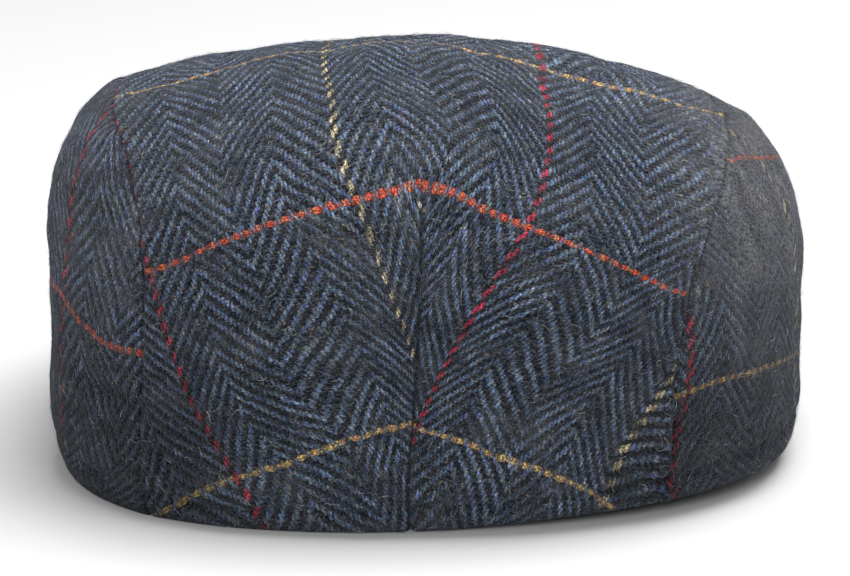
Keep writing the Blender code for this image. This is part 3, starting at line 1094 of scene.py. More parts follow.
@dataclass
class TopPanel(TweedPanel):
    """The top panel, from the front edge over the crest to the back hem, with its dart."""

    cells_across: int = 176
    cells_along: int = 236
    lay_cells_across: int = 30
    lay_cells_along: int = 40
    seam_edges: tuple[str, ...] = ("left", "right")
    across_waves: int = 4
    along_pull: float = 0.0
    dart_radius: float = 0.0023
    dart_depth: float = 0.0019
    dart_tip_share: float = 0.385
    dart_fade_share: float = 0.035
    dart_shade_reach: float = 0.0006
    tip_fold_depth: float = 0.0011
    tip_fold_reach: float = 0.011
    tip_fold_spread: float = 0.0042
    tip_fold_gap: float = 1.6
    tip_search_steps: int = 400

    def sides(self) -> tuple[Curve, Curve, Curve, Curve]:
        """The panel's front edge, back hem, right seam and left seam."""
        return (
            hem_curve(RIGHT_SEAM_ROWS[-1][0] + 360.0, LEFT_SEAM_ROWS[-1][0]),
            hem_curve(RIGHT_SEAM_ROWS[0][0], LEFT_SEAM_ROWS[0][0]),
            part_of(seam_curve(RIGHT_SEAM_ROWS), 1.0, 0.0),
            part_of(seam_curve(LEFT_SEAM_ROWS), 1.0, 0.0),
        )

    def start_lay(self, chart: np.ndarray) -> np.ndarray:
        """The chart itself, at the length of the run down the crown."""
        return chart * self.form.run_length(chart_angle(chart))[..., None]

    def dart_column(self, patch: Patch) -> int:
        """The middle column."""
        return (len(patch.across) - 1) // 2

    def dart_tip(self) -> float:
        """Where along the panel the dart's tip is."""
        line = self.patch(np.array([0.5]), np.linspace(0.0, 1.0, self.tip_search_steps))
        below = (line.share[0] > self.dart_tip_share) & (line.chart[0, :, 1] > 0)
        return float(line.along[below][0])

    def own_drop(self, patch: Patch) -> np.ndarray:
        """The dart, where the cloth rolls down into a seam that fades out at its tip."""
        distance, fade = self.from_dart(patch)
        below = (patch.share - self.dart_tip_share) * self.form.height * 2
        near_tip = bell(below - self.tip_fold_reach, self.tip_fold_reach)
        beside = bell(distance - self.tip_fold_spread * self.tip_fold_gap, self.tip_fold_spread)
        seam = self.rolled(distance, self.dart_radius, self.dart_depth) * fade
        return seam - self.tip_fold_depth * near_tip * beside * (patch.chart[..., 1] > 0)

    def from_dart(self, patch: Patch) -> tuple[np.ndarray, np.ndarray]:
        """Distance of each grid point from the dart, and how far the dart is open there."""
        dart = patch.points[self.dart_column(patch)]
        fade = smooth_step((patch.share - self.dart_tip_share) / self.dart_fade_share)
        open_share = np.where(patch.chart[..., 1] > 0, fade, 0.0)
        return np.linalg.norm(patch.points - dart, axis=-1), open_share

    def own_crease_shade(self, patch: Patch) -> np.ndarray:
        """The dart's dark line of painted shade."""
        distance, fade = self.from_dart(patch)
        return bell(distance, self.dart_shade_reach) * fade


@dataclass
class SidePanel(TweedPanel):
    """A side panel, between the hem and the side seam, from the back round to the front."""

    cells_across: int = 140
    cells_along: int = 84
    lay_cells_across: int = 26
    lay_cells_along: int = 14
    seam_edges: tuple[str, ...] = ("left", "right", "high")
    across_waves: int = 2
    along_pull: float = -0.55
    seam_rows: Rows = LEFT_SEAM_ROWS
    seam_rows_up: int = 3
    line_reach: float = 40.0
    cross_reach: float = 400.0
    lay_radius: float = 0.1
    lay_length: float = 0.19

    def sides(self) -> tuple[Curve, Curve, Curve, Curve]:
        """The panel's hem, shoulder seam, front seam and back seam, or front and back swapped."""
        seam = seam_curve(self.seam_rows)
        turn = self.seam_rows_up / (len(self.seam_rows) - 1)
        sides = (
            hem_curve(self.seam_rows[-1][0], self.seam_rows[0][0]),
            part_of(seam, 1.0 - turn, turn),
            part_of(seam, 1.0, 1.0 - turn),
            part_of(seam, 0.0, turn),
        )
        if self.seam_rows[0][0] > 0:
            return sides
        low, high, front, back = sides
        return part_of(low, 1.0, 0.0), part_of(high, 1.0, 0.0), back, front

    def start_lay(self, chart: np.ndarray) -> np.ndarray:
        """The angle round the crown and the run down it, as if the panel were a band."""
        turn = np.arctan2(chart[..., 0], chart[..., 1])
        return np.stack([turn * self.lay_radius, chart_share(chart) * self.lay_length], axis=-1)


def math_node(operation: str) -> Callable[..., "Wire"]:
    """A method of Wire that joins a Math node to the wire and to any others."""

    def joined(self: "Wire", *others: "Wire | float") -> "Wire":
        """The Math node's result."""
        inputs = dict(enumerate((self, *others)))
        return self.loom.wire("ShaderNodeMath", {"operation": operation}, inputs)

    return joined


class Wire:
    """What runs between shader nodes: a number, a place or a colour, with plain arithmetic."""

    def __init__(self, loom: "Loom", socket: bpy.types.NodeSocket) -> None:
        """Hold a socket of a material's nodes."""
        self.loom = loom
        self.socket = socket

    __add__ = __radd__ = math_node("ADD")
    __sub__ = math_node("SUBTRACT")
    __mul__ = __rmul__ = math_node("MULTIPLY")
    __truediv__ = math_node("DIVIDE")
    floor = math_node("FLOOR")
    sine = math_node("SINE")
    exponential = math_node("EXPONENT")
    without_sign = math_node("ABSOLUTE")
    greatest = math_node("MAXIMUM")
    # What is left over a whole number of lengths, never negative
    within = math_node("FLOORED_MODULO")
    # 1 where the number is above or below a level, or else 0
    above = math_node("GREATER_THAN")
    below = math_node("LESS_THAN")

    def __rsub__(self, other: float) -> "Wire":
        """Difference from a number."""
        return self * -1.0 + other

    def clamped(self) -> "Wire":
        """The number held between 0 and 1."""
        settings = {"operation": "ADD", "use_clamp": True}
        return self.loom.wire("ShaderNodeMath", settings, {0: self, 1: 0.0})

    def eased(self, low: float, high: float) -> "Wire":
        """Ease from 0 to 1 as the number runs from low to high."""
        settings = {"interpolation_type": "SMOOTHSTEP"}
        return self.loom.wire("ShaderNodeMapRange", settings, {0: self, 1: low, 2: high})


@dataclass(frozen=True)
class Grain:
    """Noise over the cloth, and the levels that it is eased between, if any.

    across and along are repeats a millimetre, layers are how many finer layers it has, and
    turn is how many degrees it is turned on the cloth.
    """

    across: float
    along: float
    layers: float = 3.0
    turn: float = 0.0
    low: float = 0.0
    high: float = 0.0


RAGGED_YARN = Grain(2.4, 1.5, 3, 11)
LOOSE_YARN = Grain(0.30, 0.22, 2, 60)
SPECKLE = Grain(1.7, 1.7, 0, 8, 0.32, 0.68)
BROKEN_CREASE_SHADE = Grain(0.8, 0.5, 2, 42, 0.30, 0.62)
MELANGE_PATCH = Grain(1.3, 0.8, 2, 20, 0.28, 0.72)
PALE_TWIST = Grain(2.3, 0.95, 3, 24, 0.40, 0.62)
PALE_FIBRE = Grain(2.1, 2.1, 3, 50, 0.40, 0.62)
PALE_CLOUD = Grain(0.11, 0.085, 3, 130, 0.30, 0.72)
DARK_FLECK = Grain(1.2, 3.2, 2, 18, 0.50, 0.72)
DARK_FIBRE = Grain(2.2, 2.2, 3, 75, 0.38, 0.64)
FELT_FIBRES = (Grain(2.2, 0.75, 3, 28), Grain(2.4, 0.85, 3, -38))
FELT_PATCH = Grain(0.050, 0.062, 4, 15, 0.42, 0.70)
FELT_STREAK = Grain(0.16, 0.045, 3, 8, 0.30, 0.70)
TAN_SPECK = Grain(1.15, 0.85, 1, 64, 0.735, 0.775)
FUZZ = Grain(3.6, 3.6)
# The nap's fibres each way, and how much they cover
NAP = (
    (Grain(3.0, 0.50, 1, 35, 0.61, 0.75), 0.36),
    (Grain(3.4, 0.65, 1, -52, 0.61, 0.75), 0.34),
    (Grain(3.2, 0.55, 1, 85, 0.61, 0.75), 0.28),
)

# Sockets of the Mix node: its two colours, and the colour that comes out
MIX_COLOURS = (6, 7)
MIX_RESULT = 2


class Loom:
    """Makes the nodes of one material."""

    def __init__(self, name: str) -> None:
        """Start a material with its shader."""
        self.made = bpy.data.materials.new(name)
        self.made.use_nodes = True
        self.shader = self.made.node_tree.nodes["Principled BSDF"]

    def put(self, socket: bpy.types.NodeSocket, value: Any) -> None:
        """Link a wire to a socket, or set the socket to a plain value, such as a colour."""
        if isinstance(value, Wire):
            self.made.node_tree.links.new(value.socket, socket)
        else:
            socket.default_value = (*value, 1.0) if socket.type == "RGBA" else value

    def shade(self, inputs: dict[str, Any]) -> None:
        """Set the shader's sockets to wires or plain values, by name."""
        for name, value in inputs.items():
            self.put(self.shader.inputs[name], value)

    def wire(
        self,
        kind: str,
        settings: dict[str, Any],
        inputs: dict[int | str, Any],
        output: int | str = 0,
    ) -> Wire:
        """Add any node.

        Args:
            kind: The node's type.
            settings: Its own settings, set first.
            inputs: Wires or plain values for its sockets, by name or number.
            output: The socket that is wanted, by name or number.

        Returns:
            That socket as a wire.
        """
        node = self.made.node_tree.nodes.new(kind)
        for name, value in settings.items():
            setattr(node, name, value)
        for name, value in inputs.items():
            self.put(node.inputs[name], value)
        return Wire(self, node.outputs[output])

    def mix(self, share: Wire, first: Any, second: Any) -> Wire:
        """Two colours mixed."""
        inputs = {0: share, **dict(zip(MIX_COLOURS, (first, second)))}
        return self.wire("ShaderNodeMix", {"data_type": "RGBA"}, inputs, MIX_RESULT)

    def scaled(self, colour: Wire, strength: Wire) -> Wire:
        """A colour made stronger or weaker by a number."""
        inputs = {0: colour, "Scale": strength}
        return self.wire("ShaderNodeVectorMath", {"operation": "SCALE"}, inputs)

    def ramp(self, value: Wire, stops: Sequence[tuple[float, Colour]]) -> Wire:
        """Colours spread over a number from 0 to 1."""
        ramp = self.wire("ShaderNodeValToRGB", {}, {"Fac": value}, "Color")
        elements = ramp.socket.node.color_ramp.elements
        while len(elements) < len(stops):
            elements.new(1.0)
        for element, (place, colour) in zip(elements, stops):
            element.position = place
            element.color = (*colour, 1.0)
        return ramp

    def painted(self, name: str) -> Wire:
        """The number that a piece's points were painted with."""
        return self.wire("ShaderNodeAttribute", {"attribute_name": name}, {}, "Fac")

    def parts(self, place: Wire) -> list[Wire]:
        """The three numbers of a place."""
        split = self.wire("ShaderNodeSeparateXYZ", {}, {0: place}).socket.node
        return [Wire(self, output) for output in split.outputs]

    def place(self) -> list[Wire]:
        """The place on the cap: along X, along Y and the height, in metres."""
        return self.parts(self.wire("ShaderNodeTexCoord", {}, {}, "Object"))

    def chance(self, first: Wire, second: Wire | float, seed: float) -> Wire:
        """A random number for each pair of whole numbers."""
        pair = self.wire("ShaderNodeCombineXYZ", {}, {0: first, 1: second, 2: seed})
        return self.wire("ShaderNodeTexWhiteNoise", {"noise_dimensions": "3D"}, {"Vector": pair})

    def noise(self, grain: Grain, cloth: Wire) -> Wire:
        """Noise from 0 to 1, stretched over the cloth's map."""
        if grain.turn:
            inputs = {"Vector": cloth, "Angle": math.radians(grain.turn)}
            cloth = self.wire("ShaderNodeVectorRotate", {"rotation_type": "Z_AXIS"}, inputs)
        inputs = {0: cloth, 1: (grain.across, grain.along, 1.0)}
        stretched = self.wire("ShaderNodeVectorMath", {"operation": "MULTIPLY"}, inputs)
        inputs = {"Vector": stretched, "Scale": 1.0, "Detail": grain.layers}
        noise = self.wire("ShaderNodeTexNoise", {"noise_dimensions": "2D"}, inputs, "Fac")
        return noise.eased(grain.low, grain.high) if grain.high else noise

    def shifted(self, cloth: Wire, scale: float, layers: float, reach: float) -> Wire:
        """The map with the yarns wandering from straight, by up to about half the reach."""
        inputs = {"Vector": cloth, "Scale": scale, "Detail": layers}
        noise = self.wire("ShaderNodeTexNoise", {"noise_dimensions": "2D"}, inputs, "Color")
        inputs = {0: noise, 1: (0.5, 0.5, 0.5)}
        centred = self.wire("ShaderNodeVectorMath", {"operation": "SUBTRACT"}, inputs)
        inputs = {0: centred, 1: (reach,) * 3, 2: cloth}
        return self.wire("ShaderNodeVectorMath", {"operation": "MULTIPLY_ADD"}, inputs)


@dataclass(frozen=True)
class TweedFinish:
    """Herringbone tweed of pale melange warp and near-black weft, with a windowpane check."""

    name: str
    brightness: float = 0.88
    painted_low_shade: float = 0.60
    warp_line_cover: float = 0.90
    warp_line_ends: float = 1.5
    warp_line_rise: float = 0.5
    weft_line_cover: float = 0.95
    weft_line_swell: float = 0.33
    weft_line_rise: float = 1.2
    ragged_yarns: float = 2.8
    loose_yarns: float = 1.8
    # How dark the painted shade in the yarns' hollows is
    hollow_shade: float = 0.88
    matting: float = 0.14
    felt_and_sheen: float = 0.0
    crease_shade_strength: float = 0.80
    right_felt_and_sheen: float = 0.0
    roughness: float = 0.92
    shine: float = 0.06
    sheen: float = 0.13
    sheen_roughness: float = 0.35
    sheen_tint: Colour = (0.86, 0.90, 1.0)
    float_height: float = 0.00034
    fuzz_height: float = 0.00040
    dark_yarn: Colour = (0.0062, 0.0096, 0.0180)
    dark_fleck: Colour = (0.0480, 0.0540, 0.0540)
    # Colour of the painted shade in the yarns' hollows, the seams and the folds
    painted_shade_colour: Colour = (0.0020, 0.0025, 0.0035)
    dark_red: Colour = (0.330, 0.013, 0.032)
    cream: Colour = (0.430, 0.360, 0.215)
    mustard: Colour = (0.620, 0.440, 0.170)
    orange: Colour = (0.720, 0.098, 0.034)
    line_fleck: Colour = (0.640, 0.340, 0.150)
    tan_fleck: Colour = (0.235, 0.200, 0.135)
    nap_colour: Colour = (0.215, 0.235, 0.285)
    matted_dark: Colour = (0.018, 0.021, 0.027)
    matted_pale: Colour = (0.215, 0.210, 0.210)
    melange: tuple[tuple[float, Colour], ...] = (
        (0.00, (0.032, 0.056, 0.166)),
        (0.14, (0.095, 0.076, 0.228)),
        (0.27, (0.019, 0.094, 0.127)),
        (0.39, (0.068, 0.107, 0.233)),
        (0.50, (0.121, 0.107, 0.060)),
        (0.60, (0.039, 0.096, 0.117)),
        (0.72, (0.125, 0.143, 0.204)),
        (0.84, (0.036, 0.073, 0.256)),
        (0.94, (0.170, 0.168, 0.168)),
        (1.00, (0.332, 0.320, 0.285)),
    )

    def material(self) -> bpy.types.Material:
        """The cloth as a material that follows the cloth's own map."""
        loom = Loom(self.name)
        cloth = loom.wire("ShaderNodeUVMap", {"uv_map": CLOTH_MAP}, {})
        wander = loom.shifted(loom.shifted(cloth, 0.16, 3.0, 1.5), 1.5, 2.0, 0.62)
        across, along, _ = loom.parts(wander)
        ends = across / WEAVE.end_mm - WEAVE.first_end
        picks = self._swollen(along / WEAVE.pick_mm)
        column = (ends / WEAVE.ends_per_column).floor()
        in_column = ends - column * WEAVE.ends_per_column
        odd = column.within(2.0)
        side = 1.0 - odd * 2.0
        end, pick = in_column.floor(), picks.floor()
        rise = picks + side * end + odd * 2.0
        run = pick + side * in_column + odd * 3.0
        turn = 2 * math.pi / WEAVE.yarns_per_twill
        warp = (rise * turn).sine() + self._roundness(in_column - end)
        weft = self._roundness(picks - pick) - (run * turn).sine()
        ragged = loom.noise(RAGGED_YARN, cloth) - 0.5
        loose = loom.noise(LOOSE_YARN, cloth) - 0.5
        number = end + column * WEAVE.ends_per_column
        warp_line = self._warp_place(number).below(self.warp_line_ends)
        weft_line = self._weft_place(pick).below(0.5)
        bold = warp_line * self.warp_line_rise - weft_line * self.weft_line_rise
        uneven = bold + ragged * self.ragged_yarns + loose * self.loose_yarns
        warp_up = (warp - weft + uneven).eased(-0.35, 0.40)
        relief = warp.greatest(weft) + ragged * 0.9
        floats = (rise / WEAVE.yarns_per_twill).floor()
        pale = self._pale(loom, number, floats, cloth, warp_line)
        dark = self._dark(loom, pick, number, cloth, weft_line)
        speckle = 0.55 + loom.noise(SPECKLE, cloth) * 0.90
        colour = loom.scaled(loom.mix(warp_up, dark, pale), speckle)
        # Painted shade in the hollows between the yarns, darker where the relief is low
        hollow = relief.eased(0.15, 1.75)
        shade = self.hollow_shade - hollow * self.hollow_shade
        colour = loom.mix(shade, colour, self.painted_shade_colour)
        colour = self._matted(loom, colour, cloth, warp_line.greatest(weft_line))
        colour = self._hairs(loom, colour, cloth)
        # Painted shade in the seams, folds, dart and hem groove, broken up by noise
        broken = 0.45 + loom.noise(BROKEN_CREASE_SHADE, cloth) * 0.55
        shade = loom.painted(CREASE_SHADE) * self.crease_shade_strength * broken
        colour = loom.mix(shade, colour, self.painted_shade_colour)
        # Painted shade: the cloth darker low on the cap's sides
        colour = loom.scaled(colour, 1.0 - self._painted_low_side_shade(loom) * self.painted_low_shade)
        fine = self._bump(loom, self.fuzz_height, {"Height": loom.noise(FUZZ, cloth)})
        loom.shade(
            {
                "Base Color": colour,
                "Normal": self._bump(loom, self.float_height, {"Height": relief, "Normal": fine}),
                "Roughness": self.roughness,
                "Specular IOR Level": self.shine,
                "Sheen Weight": self.sheen,
                "Sheen Roughness": self.sheen_roughness,
                "Sheen Tint": self.sheen_tint,
            }
        )
        return loom.made

    @staticmethod
    def _bump(loom: Loom, height: float, inputs: dict[str, Wire]) -> Wire:
        """Small relief of a height in metres."""
        return loom.wire("ShaderNodeBump", {}, {"Strength": 1.0, "Distance": height, **inputs})

    def _swollen(self, picks: Wire) -> Wire:
        """The crosswise yarns' places, with each check line's yarn thicker than the rest."""
        half = WEAVE.picks_per_check / 2
        from_line = (picks + (half - 0.5)).within(WEAVE.picks_per_check) - half
        near = (from_line * from_line * -0.39).exponential()
        return picks - from_line * near * self.weft_line_swell

    @staticmethod
    def _roundness(across: Wire) -> Wire:
        """Roundness of a yarn across its width, from 0 at its edge to 0.8 in its middle."""
        from_middle = across - 0.5
        return 0.8 - from_middle * from_middle * 3.2

    def _pale(self, loom: Loom, number: Wire, floats: Wire, cloth: Wire, line: Wire) -> Wire:
        """The pale melange yarns, float by float and fibre by fibre, with the check's in them."""
        chance = loom.chance(number, floats, 0.5)
        tone = (chance * 0.50 + loom.noise(MELANGE_PATCH, cloth) * 0.50).clamped()
        check = ((number - self.warp_start) / self.warp_period).floor().within(2.0)
        colour = loom.mix(check, self.cream, self.dark_red)
        colour = loom.mix(line * self.warp_line_cover, loom.ramp(tone, self.melange), colour)
        bright = loom.chance(number, floats, 7.5)
        strength = loom.noise(PALE_TWIST, cloth) * 0.95 + loom.noise(PALE_FIBRE, cloth) * 0.95
        strength = strength + bright * bright * 1.05 + loom.chance(number, 3.5, 1.5) * 0.20
        cloudy = 0.52 + loom.noise(PALE_CLOUD, cloth) * 0.96
        return loom.scaled(colour, strength * cloudy * self.brightness)

    def _dark(self, loom: Loom, pick: Wire, number: Wire, cloth: Wire, line: Wire) -> Wire:
        """The near-black yarns, with a few paler fibres and the check's yarns in them."""
        dark = loom.mix(loom.noise(DARK_FLECK, cloth), self.dark_yarn, self.dark_fleck)
        check = (pick / WEAVE.picks_per_check).floor().within(2.0)
        strand = loom.chance(number, check, 4.5).above(0.72) * (1.0 - check * 0.6)
        colours = [loom.mix(strand, base, self.line_fleck) for base in (self.mustard, self.orange)]
        dark = loom.mix(line * self.weft_line_cover, dark, loom.mix(check, *colours))
        return loom.scaled(dark, (0.25 + loom.noise(DARK_FIBRE, cloth) * 1.25) * self.brightness)

    @property
    def warp_period(self) -> int:
        """Lengthwise yarns from one check line to the next."""
        return WEAVE.columns_per_check * WEAVE.ends_per_column

    @property
    def warp_start(self) -> int:
        """Number of the first lengthwise yarn of a check line."""
        return 2 * WEAVE.ends_per_column - 1 - WEAVE.first_end

    def _warp_place(self, number: Wire) -> Wire:
        """How many yarns on from the last check line a lengthwise yarn is."""
        return (number - self.warp_start).within(self.warp_period)

    def _weft_place(self, pick: Wire) -> Wire:
        """The same for a crosswise yarn."""
        return pick.within(WEAVE.picks_per_check)

    def _matted(self, loom: Loom, colour: Wire, cloth: Wire, lined: Wire) -> Wire:
        """Patches where wear has felted the fibres together, so that all but the lines fade, and paler
        felt high on the sides that is partly painted sheen.
        """
        curly = loom.shifted(cloth, 0.8, 2.0, 2.2)
        first, second = (loom.noise(grain, curly) * 0.5 for grain in FELT_FIBRES)
        felt = loom.mix((first + second).eased(0.36, 0.64), self.matted_dark, self.matted_pale)
        streak = 0.72 + loom.noise(FELT_STREAK, cloth) * 0.62
        felt = loom.scaled(felt, streak * self.brightness)
        # Paler felt high on the sides, towards the back and on the right: partly felting, partly
        # painted sheen
        x, y, height = loom.place()
        sides = (x * -1.0).eased(0.058, 0.088) + x.eased(0.062, 0.092) * 0.22
        back, high = y.eased(-0.045, 0.035), height.eased(0.040, 0.085)
        felt_and_sheen = sides * back * (high * self.felt_and_sheen + x.below(0) * self.right_felt_and_sheen)
        cover = loom.noise(FELT_PATCH, cloth) * self.matting + felt_and_sheen
        return loom.mix(cover.clamped() * (1.0 - lined * 0.65), colour, felt)

    @staticmethod
    def _painted_low_side_shade(loom: Loom) -> Wire:
        """How far a place is low on the cap's sides, where painted shade darkens the cloth."""
        x, _, height = loom.place()
        return x.without_sign().eased(0.028, 0.074) * (1.0 - height.eased(0.020, 0.070))

    def _hairs(self, loom: Loom, colour: Wire, cloth: Wire) -> Wire:
        """The nap: loose fibres that lie over the weave, each way."""
        curly = loom.shifted(cloth, 0.55, 1.0, 2.6)
        for grain, cover in NAP:
            colour = loom.mix(loom.noise(grain, curly) * cover, colour, self.nap_colour)
        return loom.mix(loom.noise(TAN_SPECK, curly) * 0.75, colour, self.tan_fleck)


@dataclass(frozen=True)
class FibreFinish:
    """Loose wool fibres, from slate to cream by the tone of each."""

    name: str
    roughness: float = 0.85
    shine: float = 0.2
    tones: tuple[tuple[float, Colour], ...] = (
        (0.00, (0.020, 0.026, 0.040)),
        (0.45, (0.080, 0.095, 0.150)),
        (0.75, (0.170, 0.190, 0.240)),
        (0.90, (0.330, 0.340, 0.360)),
        (1.00, (0.820, 0.800, 0.760)),
    )

    def material(self) -> bpy.types.Material:
        """The fibres as a material that follows their own tone."""
        loom = Loom(self.name)
        colour = loom.ramp(loom.painted(FIBRE_TONE), self.tones)
        shine = self.shine
        loom.shade({"Base Color": colour, "Roughness": self.roughness, "Specular IOR Level": shine})
        return loom.made


@dataclass(frozen=True)
class Curl:
    """A curl of pale fibre caught on the cloth, and its size in metres."""

    angle: float
    share: float
    size: float
    strands: int
    tone: float


CURLS = (
    Curl(angle=1.0, share=0.425, size=0.0006, strands=22, tone=1.0),
    Curl(angle=-18.2, share=0.593, size=0.0008, strands=3, tone=0.84),
    Curl(angle=-24.0, share=0.596, size=0.0010, strands=4, tone=0.90),
)


@dataclass
class LooseFibres:
    """Short fibres that stand off one piece of cloth, as ribbons in one mesh."""

    name: str
    count: int
    seed: int
    joints: int = 4
    root_height: float = 0.00008
    width: float = 0.000055
    curl_width: float = 0.00012
    shortest: float = 0.0012
    longest: float = 0.0042
    lift: float = 0.00065
    bend: float = 1.7
    curl_bend: float = 5.0
    palest_share: float = 0.06

    def build(
        self, points: np.ndarray, chart: np.ndarray, curls: Sequence[Curl] = ()
    ) -> bpy.types.Object:
        """Scatter the fibres and join them in one mesh.

        Args:
            points: Points of the cloth's outer face, by column and row.
            chart: Chart points of the same grid, where the curls are looked up.
            curls: Curls of pale fibre that show by themselves.

        Returns:
            The fibres.
        """
        rng = np.random.default_rng(self.seed)
        sides = np.diff(points, axis=0)[:, :-1], np.diff(points, axis=1)[:-1]
        normals = np.cross(*sides)
        areas = np.linalg.norm(normals, axis=-1)
        cells = rng.choice(areas.size, size=self.count, p=(areas / areas.sum()).ravel())
        column, row = np.unravel_index(cells, areas.shape)
        tones = np.clip(rng.normal(0.52, 0.22, self.count), 0.0, 0.93)
        tones[rng.random(self.count) < self.palest_share] = 0.96
        strands = {
            "column": column,
            "row": row,
            "tone": tones,
            "length": rng.uniform(self.shortest, self.longest, self.count),
            "lift": self.lift * rng.random(self.count) ** 1.5,
            "bend": rng.normal(0.0, self.bend, self.count),
            "width": np.full(self.count, self.width),
        }
        for curl in curls:
            gap = np.sum((chart_place(curl.angle, curl.share) - chart[:-1, :-1]) ** 2, axis=-1)
            column, row = np.unravel_index(np.argmin(gap), gap.shape)
            more = {
                "column": np.full(curl.strands, column),
                "row": np.full(curl.strands, row),
                "tone": np.full(curl.strands, curl.tone),
                "length": rng.uniform(1.5, 3.0, curl.strands) * curl.size,
                "lift": rng.uniform(0.3, 1.0, curl.strands) * self.lift,
                "bend": rng.choice([-1.0, 1.0], curl.strands) * self.curl_bend,
                "width": np.full(curl.strands, self.curl_width),
            }
            strands = {name: np.append(values, more[name]) for name, values in strands.items()}
        cell = strands["column"], strands["row"]
        spread = rng.random((len(cell[0]), 2, 1))
        start = points[cell] + sides[0][cell] * spread[:, 0] + sides[1][cell] * spread[:, 1]
        outward = normals[cell] / areas[cell][:, None]
        first = unit(sides[0][cell])
        return self._ribbons(rng, start, (first, np.cross(outward, first), outward), strands)

    def _ribbons(
        self,
        rng: np.random.Generator,
        start: np.ndarray,
        frames: tuple[np.ndarray, np.ndarray, np.ndarray],
        strands: dict[str, np.ndarray],
    ) -> bpy.types.Object:
        """One mesh of ribbons.

        Args:
            rng: The seeded source of chance.
            start: Where each fibre starts on the cloth.
            frames: Two ways along the cloth and the way outwards, for each fibre.
            strands: The length, lift, bend in radians, width and tone of each fibre.

        Returns:
            The mesh's object.
        """
        first, second, outward = (way[:, None, :] for way in frames)
        length, lift, bend, width = (strands[name] for name in ("length", "lift", "bend", "width"))
        total = len(start)
        run = np.linspace(0.0, 1.0, self.joints + 1)[None, :]
        heading = rng.uniform(0.0, 2 * math.pi, total)[:, None] + bend[:, None] * run
        along = np.cos(heading)[..., None] * first + np.sin(heading)[..., None] * second
        steps = along * (length / self.joints)[:, None, None]
        middle = start[:, None, :] + np.cumsum(steps, axis=1) - steps
        looped = rng.random(total)[:, None] < 0.5
        rise = np.where(looped, 4 * run * (1 - run), run**1.5)
        middle = middle + outward * (self.root_height + lift[:, None] * rise)[..., None]
        middle[..., 2] = np.maximum(middle[..., 2], self.curl_width)
        roll = rng.uniform(0.0, math.pi, total)[:, None, None]
        sideways = np.cos(roll) * np.cross(outward, along) + np.sin(roll) * outward
        half = sideways * (width[:, None] * (1.0 - 0.6 * run) / 2)[..., None]
        corners = np.stack([middle - half, middle + half], axis=2).reshape(-1, 3)
        base = np.arange(total)[:, None] * 2 * (self.joints + 1) + 2 * np.arange(self.joints)[None]
        faces = np.stack([base, base + 1, base + 3, base + 2], axis=-1).reshape(-1, 4)
        mesh = bpy.data.meshes.new(self.name)
        mesh.from_pydata(corners.tolist(), [], faces.tolist())
        paint_points(mesh, FIBRE_TONE, np.repeat(strands["tone"], 2 * (self.joints + 1)))
        piece = bpy.data.objects.new(self.name, mesh)
        bpy.context.scene.collection.objects.link(piece)
        return piece


